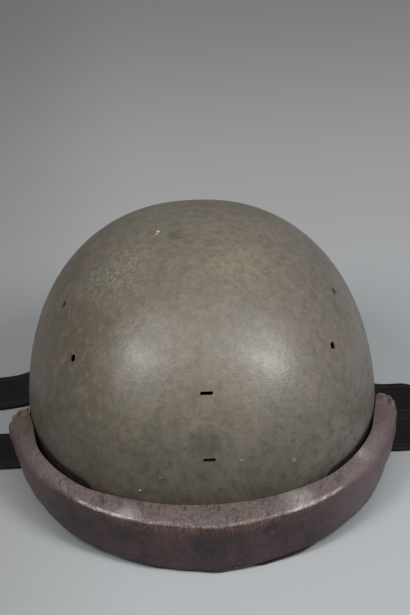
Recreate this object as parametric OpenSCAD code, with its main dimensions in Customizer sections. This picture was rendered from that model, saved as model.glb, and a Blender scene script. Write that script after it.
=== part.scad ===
/* [Shell] */
// Width of the steel bowl at its widest level
shell_width = 216; // [190:1:235]
// Length of the steel bowl, without bumper and neck guard
shell_length = 242; // [215:1:265]
// Height of the crown over the widest level
crown_height = 119; // [100:1:130]
// Height of the widest level over the surface that the helmet stands on
brow_height = 30; // [28:1:36]
// Thickness of the pressed steel
shell_wall = 1.2; // [0.8:0.1:1.8]
// Roundness of the plan, 2 is an ellipse
plan_power = 2.25; // [2:0.05:2.6]
// Roundness of the upright section, 2 is an ellipse
crown_power = 2.1; // [2:0.05:2.4]
// How far the brow's rim lies above the bumper's bottom edge
rim_lift = 3; // [2.6:0.1:4]
// How far the neck guard stands out at the back
neck_flare = 22; // [12:1:30]
// Height of the turned hem along the rim
hem_height = 3; // [2:0.5:4]
// How far the hem stands out inside
hem_bulge = 0.5; // [0.2:0.1:0.8]

/* [Slots] */
// Width of each badge slot
badge_slot_width = 7.5; // [5:0.5:12]
// Height of each badge slot
badge_slot_height = 2; // [1:0.1:3]
// Height of the lower badge slot over the surface below
badge_slot_low = 60; // [50:1:70]
// Height of the upper badge slot over the surface below
badge_slot_high = 96; // [86:1:104]
// Diameter of each side vent hole
side_hole_diameter = 4.6; // [3:0.1:6]
// Height of the rear side holes over the surface below
side_hole_high = 110; // [100:1:118]
// Height of the front side holes over the surface below
side_hole_low = 98; // [86:1:104]
// Angle of the rear side holes from the front
side_hole_rear_angle = 77; // [70:0.5:85]
// Angle of the front side holes from the front
side_hole_front_angle = 51.2; // [45:0.1:60]

/* [Bumper] */
// Depth of the bumper at the front
bumper_depth = 24; // [18:1:32]
// Depth of the bumper near its ends
bumper_end_depth = 13.5; // [12:0.5:18]
// Height of the bumper's top edge at the front
bumper_top = 31.5; // [27:0.5:38]
// Height of the bumper's top edge at its ends
bumper_end_top = 37.5; // [35:0.5:44]
// Height of the bumper's bottom edge at its ends
bumper_end_bottom = 19.5; // [16:0.5:20]
// Angle from the front to each end of the bumper
bumper_sweep = 78; // [66:1:82]
// Squareness of the bumper's section at the front, 2 is round
bumper_power = 5; // [3:0.25:7]
// Squareness of the bumper's section near its ends
bumper_end_power = 2.8; // [2:0.2:6]
// Thickness of the bumper's leather
bumper_leather = 2; // [1.2:0.1:2.2]
// Depth of the gathers at the bumper's ends
gather_depth = 0.5; // [0:0.1:0.8]
// Thickness of the backing strip behind the stuffing
backing_thickness = 1; // [0.6:0.1:1.4]
// Thickness of the lip that wraps the rim
lip_thickness = 1.5; // [1:0.1:2]
// Height of the lip inside the rim
lip_height = 9; // [6:0.5:9]

/* [Liner] */
// Height of the felt band's lower edge
liner_bottom = 26; // [26:0.5:28]
// Height of the felt band
felt_height = 32; // [28:1:38]
// Thickness of the felt band
felt_thickness = 2.5; // [1.5:0.1:4]
// Gap between the shell and the felt, which the spacers fill
spacer_gap = 6; // [5:0.5:9]
// Thickness of the leather sweatband
sweatband_thickness = 1.8; // [1.2:0.1:2.5]
// Thickness of the crown leather
crown_leather_thickness = 1.5; // [1:0.1:2]
// Room between the crown leather and the shell at the top
crown_room = 24; // [18:1:30]
// Number of tongues in the crown leather
tongue_count = 7; // [5:1:9]
// Thickness of the crown lace
lace_diameter = 2.4; // [1.5:0.1:3]
// Length of each corrugated spacer around the bowl, in degrees
spacer_arc = 34; // [24:1:34]
// Height of the corrugated spacers
spacer_height = 17; // [12:1:18]
// Thickness of the corrugated spacers
spacer_sheet = 0.6; // [0.4:0.1:1]
// Number of waves in each spacer
spacer_waves = 9; // [6:1:12]
// Width of each liner bracket
bracket_width = 14; // [10:1:16]
// Thickness of the brackets and clips
bracket_sheet = 0.8; // [0.6:0.1:1.2]

/* [Chin strap] */
// How far the strap's hinge bars lie inside the bowl's widest wall
bar_inset = 22; // [21:0.5:24]
// Height of the hinge bars
bar_z = 17; // [16:0.5:17.5]
// Place of the front anchors along the helmet
front_anchor_y = -32; // [-34:1:-28]
// Place of the rear anchors along the helmet
rear_anchor_y = 48; // [44:1:48]
// Diameter of the anchor rings' and the buckle's wire
wire_diameter = 2.8; // [2:0.1:3]
// Thickness of the strap leather
strap_thickness = 2.4; // [1.8:0.1:2.6]
// Width of each strap leg just outside the helmet
leg_width = 37; // [26:1:37]
// Width of each strap leg at its anchor ring
leg_loop_width = 14; // [14:1:19]
// Width of the main straps
strap_width = 29; // [24:1:32]
// Distance of the right junction from the bowl's widest wall
right_leg_reach = 74; // [64:1:92]
// Distance of the left junction from the bowl's widest wall
left_leg_reach = 60; // [58:1:82]
// Length of the right main strap, from its junction to its tip
right_strap_length = 126; // [120:1:160]
// Length of the left main strap, from its junction to the buckle's bar
left_strap_length = 80; // [78:1:95]
// Number of punched holes in the right strap
hole_count = 5; // [3:1:5]
// Spacing of the punched holes
hole_spacing = 12; // [10:1:12]
// Diameter of the punched holes
hole_diameter = 3.4; // [3:0.1:4]
// Length of the buckle frame
buckle_length = 24; // [20:1:30]
// Thickness of the keeper's leather
keeper_thickness = 1.2; // [1:0.1:1.6]

/* [Hidden] */
$fn = 48;
clearance = 0.3;
hair = 0.1;
paint = [0.52, 0.50, 0.45];
dark_leather = [0.27, 0.22, 0.22];
black_leather = [0.15, 0.13, 0.15];
felt_grey = [0.45, 0.43, 0.38];
lace_buff = [0.62, 0.55, 0.42];
aluminium = [0.75, 0.76, 0.77];
steel = [0.42, 0.42, 0.42];

// Longer than any strap's outline is wide
full_width = 2 * shell_length;

// Steps of the lofted sheets
around_steps = 72;
lower_rows = 4;
dome_rows = 10;
cap_angle = 86;
bumper_steps = 40;
bumper_path_steps = 14;
tongue_steps = 5;
tongue_rows = 6;

// Neck guard: angles from the front where the rim drops and where the wall flares
neck_start = 122;
neck_full = 158;
flare_start = 105;
flare_full = 165;
flare_power = 1.6;
rim_side = rim_lift + bumper_end_bottom;

// Offsets from the bowl's outer face to the layers inside it
inner_face = -shell_wall;
felt_outer = inner_face - spacer_gap;
felt_inner = felt_outer - felt_thickness;
sweatband_outer = felt_inner - clearance;
sweatband_inner = sweatband_outer - sweatband_thickness;
crown_outer = sweatband_inner - clearance;
liner_top = liner_bottom + felt_height;
crown_top = brow_height + crown_height - shell_wall - crown_room;
lip_outer = inner_face - hem_bulge - clearance;
lip_inner = lip_outer - lip_thickness;

// Depth of the cutters of slots and vent holes, about the bowl's outer face
slot_depth = 16;
// Depth of the cutters of holes in straps and small metal
cut_depth = 20;

// Shares of the bumper's sweep that its inner parts reach
core_share = 0.98;
lip_share = 0.8;
clip_angles = [-42, 0, 42];
clip_width = 10;
clip_rise = 8;

// Liner brackets, rivets and spacers
bracket_angles = [0, 90, 180, 270];
bracket_foot = brow_height - 3;
bracket_bend = brow_height + 1;
bracket_rivet_z = liner_bottom + 20;
bracket_end = bracket_rivet_z + 5;
rivet_shaft = 2.6;
rivet_hole = rivet_shaft + 2 * hair;
rivet_reach = 4 * (spacer_gap + felt_thickness);
rivet_head = 6;
rivet_crown = 1;
rivet_foot = 0.6;
spacer_angle = 45;
spacer_room = 1;
spacer_steps = 6;

// Crown leather: its tongues run from the valley's to the tip's angle
tongue_valley = 26;
tongue_tip = 76;
tongue_roundness = 0.6;
tongue_slit = 0.4;
crown_overlap = 6;

// Anchors: a lug welded inside the rim, closed tight on a wire bail
lug_width = 8;
lug_sheet = 1.2;
lug_top = brow_height + 4;
bail_rise = 4.5;
bail_upper = lug_width / 2 + wire_diameter / 2 + 0.4;
bail_side_room = 2.6;
bail_lower = leg_loop_width / 2 + wire_diameter / 2 + bail_side_room;

// Levels of the strap layers over the surface below
rest_gap = 0.2;
leg_level = rest_gap + strap_thickness / 2;
lap_level = leg_level + strap_thickness + hair;
buckle_level = 2 * rest_gap + keeper_thickness + strap_thickness / 2;

// Straps: where the legs reach the surface, the laps, bends, folded tail and tip
loop_radius = wire_diameter / 2 + clearance + strap_thickness / 2;
bar_x = shell_width / 2 - bar_inset;
leg_clear_x = bar_x + 7;
leg_full_x = bar_x + 27;
leg_rest_x = bar_x + 36;
leg_narrow_x = bar_x + 45;
right_junction_x = shell_width / 2 + right_leg_reach;
left_junction_x = shell_width / 2 + left_leg_reach;
leg_end_half = strap_width / 4 - 0.4;
leg_end_y = strap_width / 4 - 0.1;
lap_length = 20;
bend_length = 14;
tail_length = 18;
tip_length = 22;
right_strap_y = 12;
left_strap_y = 4;
right_leg_middles = [-13, 54];
left_leg_middles = [-14.6, 23.2];

// Buckle and keeper
buckle_x = left_junction_x + left_strap_length;
buckle_z = rest_gap + loop_radius + strap_thickness / 2;
buckle_half = strap_width / 2 + 2;
prong_width = 4;
prong_slot = 5;
prong_slot_length = 12;
prong_sheet = 2;
keeper_width = 10;
keeper_x = buckle_x - tail_length - 1 - keeper_width / 2;
keeper_room = strap_thickness + 1.8;

function smooth(t) = let (u = min(1, max(0, t))) u * u * (3 - 2 * u);
function mix(a, b, t) = a + (b - a) * t;
function from_front(a) = abs(a > 180 ? a - 360 : a);
function flat(lists) = [for (l = lists) for (p = l) p];
function reversed(list) = [for (i = [len(list) - 1 : -1 : 0]) list[i]];

// Plan of the bowl: angles run from the front, which faces -Y, towards +X
function plan_radius(a, grow = 0) =
    pow(pow(abs(sin(a)) / (shell_width / 2 + grow), plan_power)
        + pow(abs(cos(a)) / (shell_length / 2 + grow), plan_power), -1 / plan_power);
function plan_point(a, grow = 0, z = 0) =
    let (r = plan_radius(a, grow)) [r * sin(a), -r * cos(a), z];
// Distance of the bowl's outer wall from the middle plane at a place along the helmet
function wall_x(y) =
    shell_width / 2 * pow(1 - pow(abs(y) * 2 / shell_length, plan_power), 1 / plan_power);
// Angle that turns +X to the wall's tangent
function wall_turn(a) =
    let (d = plan_point(a + 0.5) - plan_point(a - 0.5)) atan2(d[1], d[0]);

// Bumper's edges and depth at an angle from the front
function bumper_share(a) = min(1, from_front(a) / bumper_sweep);
function bumper_bottom(a) = bumper_end_bottom * pow(bumper_share(a), 1.5);
function bumper_crest(a) = mix(bumper_top, bumper_end_top, pow(bumper_share(a), 1.8));
function bumper_reach(a) =
    mix(bumper_end_depth, bumper_depth, pow(max(0, 1 - bumper_share(a) / 0.8), 2));
function bumper_round(a) = max(0.3, sqrt(1 - pow(max(0, bumper_share(a) - 0.9) / 0.1, 2)));
function bumper_middle(a) = (bumper_crest(a) + bumper_bottom(a)) / 2;
function bumper_half(a) = (bumper_crest(a) - bumper_bottom(a)) / 2 * bumper_round(a);
function bumper_stations(share = 1) =
    [for (i = [0 : bumper_steps]) share * bumper_sweep * sin(180 * i / bumper_steps - 90)];
// Gathers fall on every second station near the ends
function gather(a) = gather_depth * smooth((bumper_share(a) - 0.7) / 0.2)
    * cos(asin(max(-1, min(1, a / bumper_sweep))) * bumper_steps);
function bumper_square(a) =
    mix(bumper_power, bumper_end_power, smooth((bumper_share(a) - 0.35) / 0.4));
// Half of the bumper's outline at one angle, from its bottom edge to its top edge,
// as far as it stands off the bowl by the least distance
function bumper_path(a, inset, least = 0, ripple = 0) =
    let (deep = bumper_reach(a) * bumper_round(a) - inset + ripple, half = bumper_half(a) - inset)
    let (power = 2 / bumper_square(a), widest = acos(pow(least / deep, 1 / power)))
    [for (j = [0 : bumper_path_steps])
        let (v = 2 * j / bumper_path_steps - 1, b = widest * (1 - pow(1 - abs(v), 1.7)))
        plan_point(a, clearance + deep * pow(cos(b), power),
            bumper_middle(a) + sign(v) * half * pow(sin(b), power))];

function rim_height(a) = let (u = from_front(a))
    u < bumper_sweep ? rim_lift + bumper_bottom(a)
    : rim_side * (1 - smooth((u - neck_start) / (neck_full - neck_start)));
function neck_reach(a, z) =
    neck_flare * smooth((from_front(a) - flare_start) / (flare_full - flare_start))
    * pow(max(0, (brow_height - z) / brow_height), flare_power);
function dome_share(z) =
    z <= brow_height ? 1
    : pow(1 - pow((z - brow_height) / crown_height, crown_power), 1 / crown_power);

// One column of the bowl from the rim to the crown, at an inward offset
function bowl_column(a, inward) =
    let (rim = rim_height(a), hem = inward > 0 ? hem_bulge : 0)
    concat(
        [for (z = [rim, rim + hem_height])
            plan_point(a, neck_reach(a, z) - inward - hem, z)],
        [for (i = [1 : lower_rows])
            let (z = mix(rim + hem_height, brow_height, i / lower_rows))
            plan_point(a, neck_reach(a, z) - inward, z)],
        [for (i = [1 : dome_rows])
            let (t = cap_angle * i / dome_rows, k = pow(cos(t), 2 / crown_power))
            let (rise = (crown_height - inward) * pow(sin(t), 2 / crown_power))
            let (p = plan_point(a, -inward))
            [p[0] * k, p[1] * k, brow_height + rise]]
    );

// Crown leather's face at an angle around and a climb angle
function tongue_reach(a) = mix(tongue_valley, tongue_tip,
    pow((1 + cos(tongue_count * a)) / 2, tongue_roundness));
function crown_point(a, t, inward = 0) =
    let (p = plan_point(a, crown_outer - inward), k = pow(cos(t), 2 / crown_power))
    [p[0] * k, p[1] * k, liner_top + (crown_top - inward - liner_top) * pow(sin(t), 2 / crown_power)];

// Cubic curve between two points, and a ribbon of even thickness along a line of points
function bezier(p, q, r, s, steps = 10) = [for (i = [0 : steps]) let (t = i / steps, u = 1 - t)
    u * u * u * p + 3 * u * u * t * q + 3 * u * t * t * r + t * t * t * s];
function heading(line, i) =
    let (d = line[min(i + 1, len(line) - 1)] - line[max(i - 1, 0)]) d / norm(d);
function side_line(line, offset) = [for (i = [0 : len(line) - 1])
    let (d = heading(line, i)) line[i] + offset * [-d[1], d[0]]];
function ribbon(line, thickness) =
    concat(side_line(line, thickness / 2), reversed(side_line(line, -thickness / 2)));
// Bend from one level to another, with level ends
function step_down(x, length, high, low) = bezier([x, high], [x + length * 0.45, high],
    [x + length * 0.55, low], [x + length, low]);

// Closed sheet between two grids of points, which are lists of columns.
// wrapped joins the last column to the first, capped closes the last row.
module sheet(outer, inner, wrapped = false, capped = false) {
    columns = len(outer);
    rows = len(outer[0]);
    last = wrapped ? columns - 1 : columns - 2;
    top = rows - 1;
    end = columns - 1;
    function o(i, j) = (i % columns) * rows + j;
    function n(i, j) = columns * rows + o(i, j);
    function quad(a, b, c, d) = [[a, b, c], [a, c, d]];
    skins = flat([for (i = [0 : last]) for (j = [0 : rows - 2]) concat(
        quad(o(i, j), o(i, j + 1), o(i + 1, j + 1), o(i + 1, j)),
        quad(n(i, j), n(i + 1, j), n(i + 1, j + 1), n(i, j + 1)))]);
    foot = flat([for (i = [0 : last]) quad(o(i, 0), o(i + 1, 0), n(i + 1, 0), n(i, 0))]);
    head = capped
        ? [[for (i = [end : -1 : 0]) o(i, top)], [for (i = [0 : end]) n(i, top)]]
        : flat([for (i = [0 : last]) quad(o(i, top), n(i, top), n(i + 1, top), o(i + 1, top))]);
    sides = wrapped ? [] : flat([for (j = [0 : rows - 2]) concat(
        quad(o(0, j), n(0, j), n(0, j + 1), o(0, j + 1)),
        quad(o(end, j), o(end, j + 1), n(end, j + 1), n(end, j)))]);
    polyhedron(points = concat(flat(outer), flat(inner)), faces = concat(skins, foot, head, sides));
}

// Solid through closed sections of equally many points; closed joins the last to the first
module loft(sections, closed = false) {
    count = len(sections[0]);
    total = len(sections);
    function p(i, j) = (i % total) * count + j % count;
    walls = flat([for (i = [0 : total - (closed ? 1 : 2)]) for (j = [0 : count - 1])
        [[p(i, j), p(i, j + 1), p(i + 1, j + 1)], [p(i, j), p(i + 1, j + 1), p(i + 1, j)]]]);
    caps = closed ? [] : flat([for (j = [1 : count - 2])
        [[p(0, 0), p(0, j + 1), p(0, j)], [p(total - 1, 0), p(total - 1, j), p(total - 1, j + 1)]]]);
    polyhedron(points = flat(sections), faces = concat(walls, caps));
}

// Slotted hole: a bar with round ends, long enough to pass the wall
module slot_cutter(length, width) {
    for (s = [-1, 1])
        translate([s * (length - width) / 2, 0, 0]) cylinder(d = width, h = slot_depth, center = true);
    cube([length - width, width, slot_depth], center = true);
}

// Places children on the bowl's outer face, their Z along the wall's normal
module on_bowl(a, z) {
    k = dome_share(z);
    p = plan_point(a);
    rise = (z - brow_height) / crown_height;
    lean = atan2(pow(rise, crown_power - 1) / crown_height,
        pow(k, crown_power - 1) / norm([p[0], p[1]]));
    translate([p[0] * k, p[1] * k, z])
        rotate([0, 0, wall_turn(a)]) rotate([90 - lean, 0, 0]) children();
}

// Places children at the bowl's outer wall, their X outwards
module at_wall(a) {
    translate(plan_point(a)) rotate([0, 0, wall_turn(a) - 90]) children();
}

// Extrudes an outline drawn in X and Z, centred along Y
module upright(width) {
    rotate([90, 0, 0]) linear_extrude(height = width, center = true) children();
}

module rod(p, q, d) {
    v = q - p;
    translate(p) rotate([0, acos(v[2] / norm(v)), atan2(v[1], v[0])]) cylinder(d = d, h = norm(v));
}

module shell() {
    outer = [for (i = [0 : around_steps - 1]) bowl_column(i * 360 / around_steps, 0)];
    inner = [for (i = [0 : around_steps - 1]) bowl_column(i * 360 / around_steps, shell_wall)];
    color(paint) difference() {
        sheet(outer, inner, wrapped = true, capped = true);
        for (z = [badge_slot_low, badge_slot_high])
            on_bowl(0, z) slot_cutter(badge_slot_width, badge_slot_height);
        for (s = [-1, 1]) {
            on_bowl(s * side_hole_rear_angle, side_hole_high)
                cylinder(d = side_hole_diameter, h = slot_depth, center = true);
            on_bowl(s * side_hole_front_angle, side_hole_low)
                cylinder(d = side_hole_diameter, h = slot_depth, center = true);
        }
    }
}

// Leather channel, open towards the bowl, gathered at its ends
module bumper_cover() {
    color(dark_leather) sheet(
        [for (a = bumper_stations()) bumper_path(a, 0, ripple = gather(a))],
        [for (a = bumper_stations()) bumper_path(a, bumper_leather)]);
}

module bumper_core() {
    color(felt_grey) loft([for (a = bumper_stations(core_share))
        bumper_path(a, bumper_leather + clearance, backing_thickness + clearance)]);
}

module bumper_backing() {
    function strip(grow) = [for (a = bumper_stations(core_share))
        [for (side = [-1, 1]) plan_point(a, grow,
            bumper_middle(a) + side * (bumper_half(a) - bumper_leather - clearance))]];
    color(dark_leather) sheet(strip(clearance + backing_thickness), strip(clearance));
}

// Leather lip that runs from the bumper's bottom edge round the rim and up inside
module bumper_lip() {
    start = clearance - rim_lift;
    turn = inner_face - hem_bulge;
    upper = [[clearance - hair, start + lip_thickness], [0, -2 * clearance],
        [turn, -clearance], [lip_outer, clearance], [lip_outer, lip_height]];
    lower = [[clearance - hair, start], [0, -2 * clearance - lip_thickness],
        [turn, -clearance - lip_thickness], [lip_inner, -clearance], [lip_inner, lip_height]];
    function run(path) = [for (a = bumper_stations(lip_share))
        [for (p = path) plan_point(a, p[0], rim_height(a) + p[1])]];
    color(dark_leather) sheet(run(upper), run(lower));
}

// Strip bent like a Z: its outer and inner legs lie at two offsets from the bowl's face
module z_strip(outer, inner, foot, bend, top, width) {
    t = bracket_sheet;
    upright(width) polygon([
        [outer, foot], [outer, bend], [inner, bend], [inner, top],
        [inner - t, top], [inner - t, bend - t], [outer - t, bend - t], [outer - t, foot]
    ]);
}

// Clips welded to the wall above the lip, their lower legs over it
module bumper_clips() {
    color(steel) for (a = clip_angles) at_wall(a) {
        edge = rim_height(a) + lip_height;
        mirror([0, 0, 1]) z_strip(inner_face - clearance, lip_inner - clearance,
            -min(edge + clip_rise, liner_bottom + 0.5), -edge - 1, 4 - edge, clip_width);
    }
}

// Band that follows the bowl's plan between two offsets
module plan_band(outer, inner, low, high) {
    count = around_steps;
    function ring(grow) = [for (i = [0 : count - 1])
        let (p = plan_point(i * 360 / count, grow)) [p[0], p[1]]];
    translate([0, 0, low]) linear_extrude(height = high - low) difference() {
        polygon(ring(outer));
        polygon(ring(inner));
    }
}

module bracket_holes() {
    for (a = bracket_angles) at_wall(a) translate([0, 0, bracket_rivet_z])
        rotate([0, 90, 0]) cylinder(d = rivet_hole, h = rivet_reach, center = true);
}

module felt_band() {
    color(felt_grey) difference() {
        plan_band(felt_outer, felt_inner, liner_bottom, liner_top);
        bracket_holes();
    }
}

module sweatband() {
    color(black_leather) difference() {
        plan_band(sweatband_outer, sweatband_inner, liner_bottom - 1.5, liner_top);
        bracket_holes();
    }
}

// Tongue of crown leather, sewn in behind the sweatband and slit from its neighbours
module tongue(middle) {
    reach = 180 / tongue_count - tongue_slit;
    function side(inward) = [for (i = [-tongue_steps : tongue_steps])
        let (a = middle + reach * i / tongue_steps) concat(
            [plan_point(a, crown_outer - inward, liner_top - crown_overlap)],
            [for (j = [0 : tongue_rows]) crown_point(a, tongue_reach(a) * j / tongue_rows, inward)])];
    sheet(side(0), side(crown_leather_thickness));
}

module crown_leather() {
    color(black_leather) for (k = [0 : tongue_count - 1]) tongue(k * 360 / tongue_count);
}

// Drawcord under the tongue tips, with its knot and two tails at the rear
module crown_lace() {
    count = 42;
    sides = 8;
    r = lace_diameter / 2;
    function core(a) = crown_point(a, tongue_tip - 2, crown_leather_thickness + clearance + r);
    color(lace_buff) {
        loft([for (i = [0 : count - 1]) let (a = i * 360 / count, c = core(a))
            [for (j = [0 : sides - 1]) c + r * [cos(j * 360 / sides) * sin(a),
                -cos(j * 360 / sides) * cos(a), sin(j * 360 / sides)]]], closed = true);
        for (s = [-1, 1])
            rod(core(180), core(180) + [s * 9, 7, -12], lace_diameter, $fn = 10);
        translate(core(180)) sphere(d = lace_diameter * 2.2, $fn = 12);
    }
}

module bracket(a) {
    color(steel) difference() {
        at_wall(a) z_strip(inner_face - clearance, felt_outer + hair + bracket_sheet,
            bracket_foot, bracket_bend, bracket_end, bracket_width);
        bracket_holes();
    }
}
module bracket_front() { bracket(bracket_angles[0]); }
module bracket_left() { bracket(bracket_angles[1]); }
module bracket_rear() { bracket(bracket_angles[2]); }
module bracket_right() { bracket(bracket_angles[3]); }

// Domed rivet along Z, its head past the given length
module rivet(length) {
    cylinder(d = rivet_shaft, h = length + rivet_crown / 2);
    translate([0, 0, length]) cylinder(d1 = rivet_head, d2 = rivet_head * 0.65, h = rivet_crown);
}

module liner_rivets() {
    start = felt_outer + hair + bracket_sheet;
    color(steel) for (a = bracket_angles) at_wall(a) translate([start, 0, bracket_rivet_z])
        rotate([0, -90, 0]) {
            rivet(start - sweatband_inner + 2 * hair);
            translate([0, 0, -rivet_foot]) cylinder(d = rivet_head, h = rivet_foot);
        }
}

// Corrugated strip between the shell and the felt
module spacer(middle) {
    reach = (spacer_gap - spacer_room - clearance - spacer_sheet) / 2;
    centre = inner_face - spacer_room - spacer_sheet / 2 - reach;
    count = spacer_waves * spacer_steps;
    line = [for (i = [0 : count]) let (t = i / count)
        let (p = plan_point(middle + (t - 0.5) * spacer_arc, centre + reach * cos(360 * spacer_waves * t)))
        [p[0], p[1]]];
    color(aluminium) translate([0, 0, liner_bottom + 1])
        linear_extrude(height = spacer_height) polygon(ribbon(line, spacer_sheet));
}
module spacer_front_left() { spacer(spacer_angle); }
module spacer_rear_left() { spacer(180 - spacer_angle); }
module spacer_rear_right() { spacer(180 + spacer_angle); }
module spacer_front_right() { spacer(360 - spacer_angle); }

// Lug inside the rim with a wire bail whose lower bar carries a strap leg
module anchor(y) {
    a = atan2(wall_x(y), -y);
    face = inner_face - hem_bulge - clearance;
    roll = wire_diameter / 2 + lug_sheet;
    eye_x = wall_x(abs(y) + lug_width / 2) + face - roll;
    eye_z = bar_z + bail_rise;
    web = eye_z + roll - 0.5;
    color(steel) {
        for (s = [-1, 1]) {
            low = [bar_x, y + s * bail_lower, bar_z];
            high = [eye_x, y + s * bail_upper, eye_z];
            rod(low, high, wire_diameter);
            for (p = [low, high]) translate(p) sphere(d = wire_diameter + hair);
        }
        rod([bar_x, y - bail_lower, bar_z], [bar_x, y + bail_lower, bar_z], wire_diameter);
        rod([eye_x, y - bail_upper, eye_z], [eye_x, y + bail_upper, eye_z], wire_diameter);
        translate([eye_x, y, eye_z]) rotate([90, 0, 0])
            cylinder(r = roll, h = lug_width, center = true);
        at_wall(a) upright(lug_width) polygon([
            [face, web - lug_sheet], [face, lug_top], [face - lug_sheet, lug_top],
            [face - lug_sheet, web], [face - roll - 0.6, web], [face - roll - 0.6, web - lug_sheet]
        ]);
    }
}
module anchor_front_left() { anchor(front_anchor_y); }
module anchor_rear_left() { anchor(rear_anchor_y); }
module anchor_front_right() { mirror([1, 0, 0]) anchor(front_anchor_y); }
module anchor_rear_right() { mirror([1, 0, 0]) anchor(rear_anchor_y); }

// Strap leg on the +X side: folded round its bar, under the rim and out to its junction
module leg(anchor_y, middle_y, end_y, junction_x) {
    end_x = junction_x + lap_length;
    line = concat(
        bezier([bar_x + 0.8, bar_z - loop_radius + hair], [bar_x + 11, bar_z - loop_radius - 0.6],
            [leg_rest_x - 15, leg_level], [leg_rest_x, leg_level]),
        [[end_x, leg_level]]);
    function widening(x) = smooth((x - leg_clear_x) / (leg_full_x - leg_clear_x));
    function narrowing(x) = smooth((x - leg_narrow_x) / (junction_x - leg_narrow_x));
    function middle(x) = mix(mix(anchor_y, middle_y, widening(x)), end_y, narrowing(x));
    function half(x) = mix(mix(leg_loop_width, leg_width, widening(x)) / 2, leg_end_half, narrowing(x));
    stations = concat([bar_x], [for (i = [0 : 6]) mix(leg_clear_x, leg_full_x, i / 6)],
        [for (i = [0 : 8]) mix(leg_narrow_x, junction_x, i / 8)], [end_x]);
    outline = concat([for (x = stations) [x, middle(x) + half(x)]],
        reversed([for (x = stations) [x, middle(x) - half(x)]]));
    color(black_leather) difference() {
        union() {
            intersection() {
                upright(full_width) polygon(ribbon(line, strap_thickness));
                linear_extrude(height = bar_z) polygon(outline);
            }
            translate([bar_x, anchor_y, bar_z]) rotate([90, 0, 0])
                cylinder(r = loop_radius + strap_thickness / 2, h = leg_loop_width, center = true);
        }
        translate([bar_x, anchor_y, bar_z]) rotate([90, 0, 0])
            cylinder(r = loop_radius - strap_thickness / 2, h = 2 * leg_loop_width, center = true);
        for (x = lap_rivets(junction_x)) translate([x, end_y, -1]) cylinder(d = rivet_hole, h = cut_depth);
    }
}
function lap_rivets(junction_x) = [junction_x + 5, junction_x + lap_length - 5];

module left_front_leg() {
    leg(front_anchor_y, left_leg_middles[0], left_strap_y - leg_end_y, left_junction_x);
}
module left_rear_leg() {
    leg(rear_anchor_y, left_leg_middles[1], left_strap_y + leg_end_y, left_junction_x);
}
module right_front_leg() {
    mirror([1, 0, 0])
        leg(front_anchor_y, right_leg_middles[0], right_strap_y - leg_end_y, right_junction_x);
}
module right_rear_leg() {
    mirror([1, 0, 0])
        leg(rear_anchor_y, right_leg_middles[1], right_strap_y + leg_end_y, right_junction_x);
}

// Rivet positions through a main strap's lap
module at_lap_rivets(junction_x, y) {
    for (x = lap_rivets(junction_x)) for (s = [-1, 1]) translate([x, y + s * leg_end_y, 0]) children();
}

// Main strap that lies over the legs' ends and then bends down
module main_strap(junction_x, y, level, end_x, outline) {
    bend_x = junction_x + lap_length + 1;
    line = concat([[junction_x, lap_level]], step_down(bend_x, bend_length, lap_level, level),
        [[end_x, level]]);
    intersection() {
        upright(full_width) polygon(ribbon(line, strap_thickness));
        translate([0, y, 0]) linear_extrude(height = bar_z) polygon(outline);
    }
}

module right_main_strap() {
    tip = right_junction_x + right_strap_length;
    w = strap_width / 2;
    side = [[right_junction_x, w - 4], [right_junction_x + 3, w], [tip - tip_length, w],
        [tip - tip_length * 0.6, w * 0.88], [tip - tip_length * 0.3, w * 0.6],
        [tip - tip_length * 0.1, w * 0.3], [tip, w * 0.08]];
    color(black_leather) mirror([1, 0, 0]) difference() {
        main_strap(right_junction_x, right_strap_y, leg_level, tip,
            concat(side, reversed([for (p = side) [p[0], -p[1]]])));
        at_lap_rivets(right_junction_x, right_strap_y) cylinder(d = rivet_hole, h = cut_depth);
        for (i = [0 : hole_count - 1])
            translate([tip - tip_length - i * hole_spacing, right_strap_y, -1])
                cylinder(d = hole_diameter, h = cut_depth);
    }
}

module tail_rivets() {
    for (s = [-1, 1])
        translate([buckle_x - tail_length + 5, left_strap_y + s * strap_width / 4, 0]) children();
}

module left_main_strap() {
    w = strap_width / 2;
    side = [[left_junction_x, w - 4], [left_junction_x + 3, w], [buckle_x, w]];
    tail_level = buckle_level + strap_thickness / 2;
    color(black_leather) difference() {
        union() {
            main_strap(left_junction_x, left_strap_y, buckle_level, buckle_x,
                concat(side, reversed([for (p = side) [p[0], -p[1]]])));
            translate([buckle_x - tail_length, left_strap_y - w, tail_level - hair])
                cube([tail_length, strap_width, strap_thickness + hair]);
            translate([buckle_x, left_strap_y, buckle_z]) rotate([90, 0, 0])
                cylinder(r = loop_radius + strap_thickness / 2, h = strap_width, center = true);
        }
        translate([buckle_x, left_strap_y, buckle_z]) rotate([90, 0, 0])
            cylinder(r = loop_radius - strap_thickness / 2, h = 2 * strap_width, center = true);
        translate([buckle_x - 4.6, left_strap_y - prong_slot / 2, -1])
            cube([prong_slot_length, prong_slot, cut_depth]);
        translate([buckle_x - 11, left_strap_y - prong_slot / 2, tail_level])
            cube([prong_slot_length, prong_slot, cut_depth]);
        at_lap_rivets(left_junction_x, left_strap_y) cylinder(d = rivet_hole, h = cut_depth);
        tail_rivets() cylinder(d = rivet_hole, h = cut_depth);
    }
}

lap_top = lap_level + strap_thickness / 2;
module right_strap_rivets() {
    color(steel) mirror([1, 0, 0]) at_lap_rivets(right_junction_x, right_strap_y)
        translate([0, 0, rest_gap]) rivet(lap_top - rest_gap);
}

module left_strap_rivets() {
    low = buckle_level - strap_thickness / 2;
    color(steel) {
        at_lap_rivets(left_junction_x, left_strap_y) translate([0, 0, rest_gap]) rivet(lap_top - rest_gap);
        tail_rivets() translate([0, 0, low]) rivet(2 * strap_thickness);
    }
}

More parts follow.
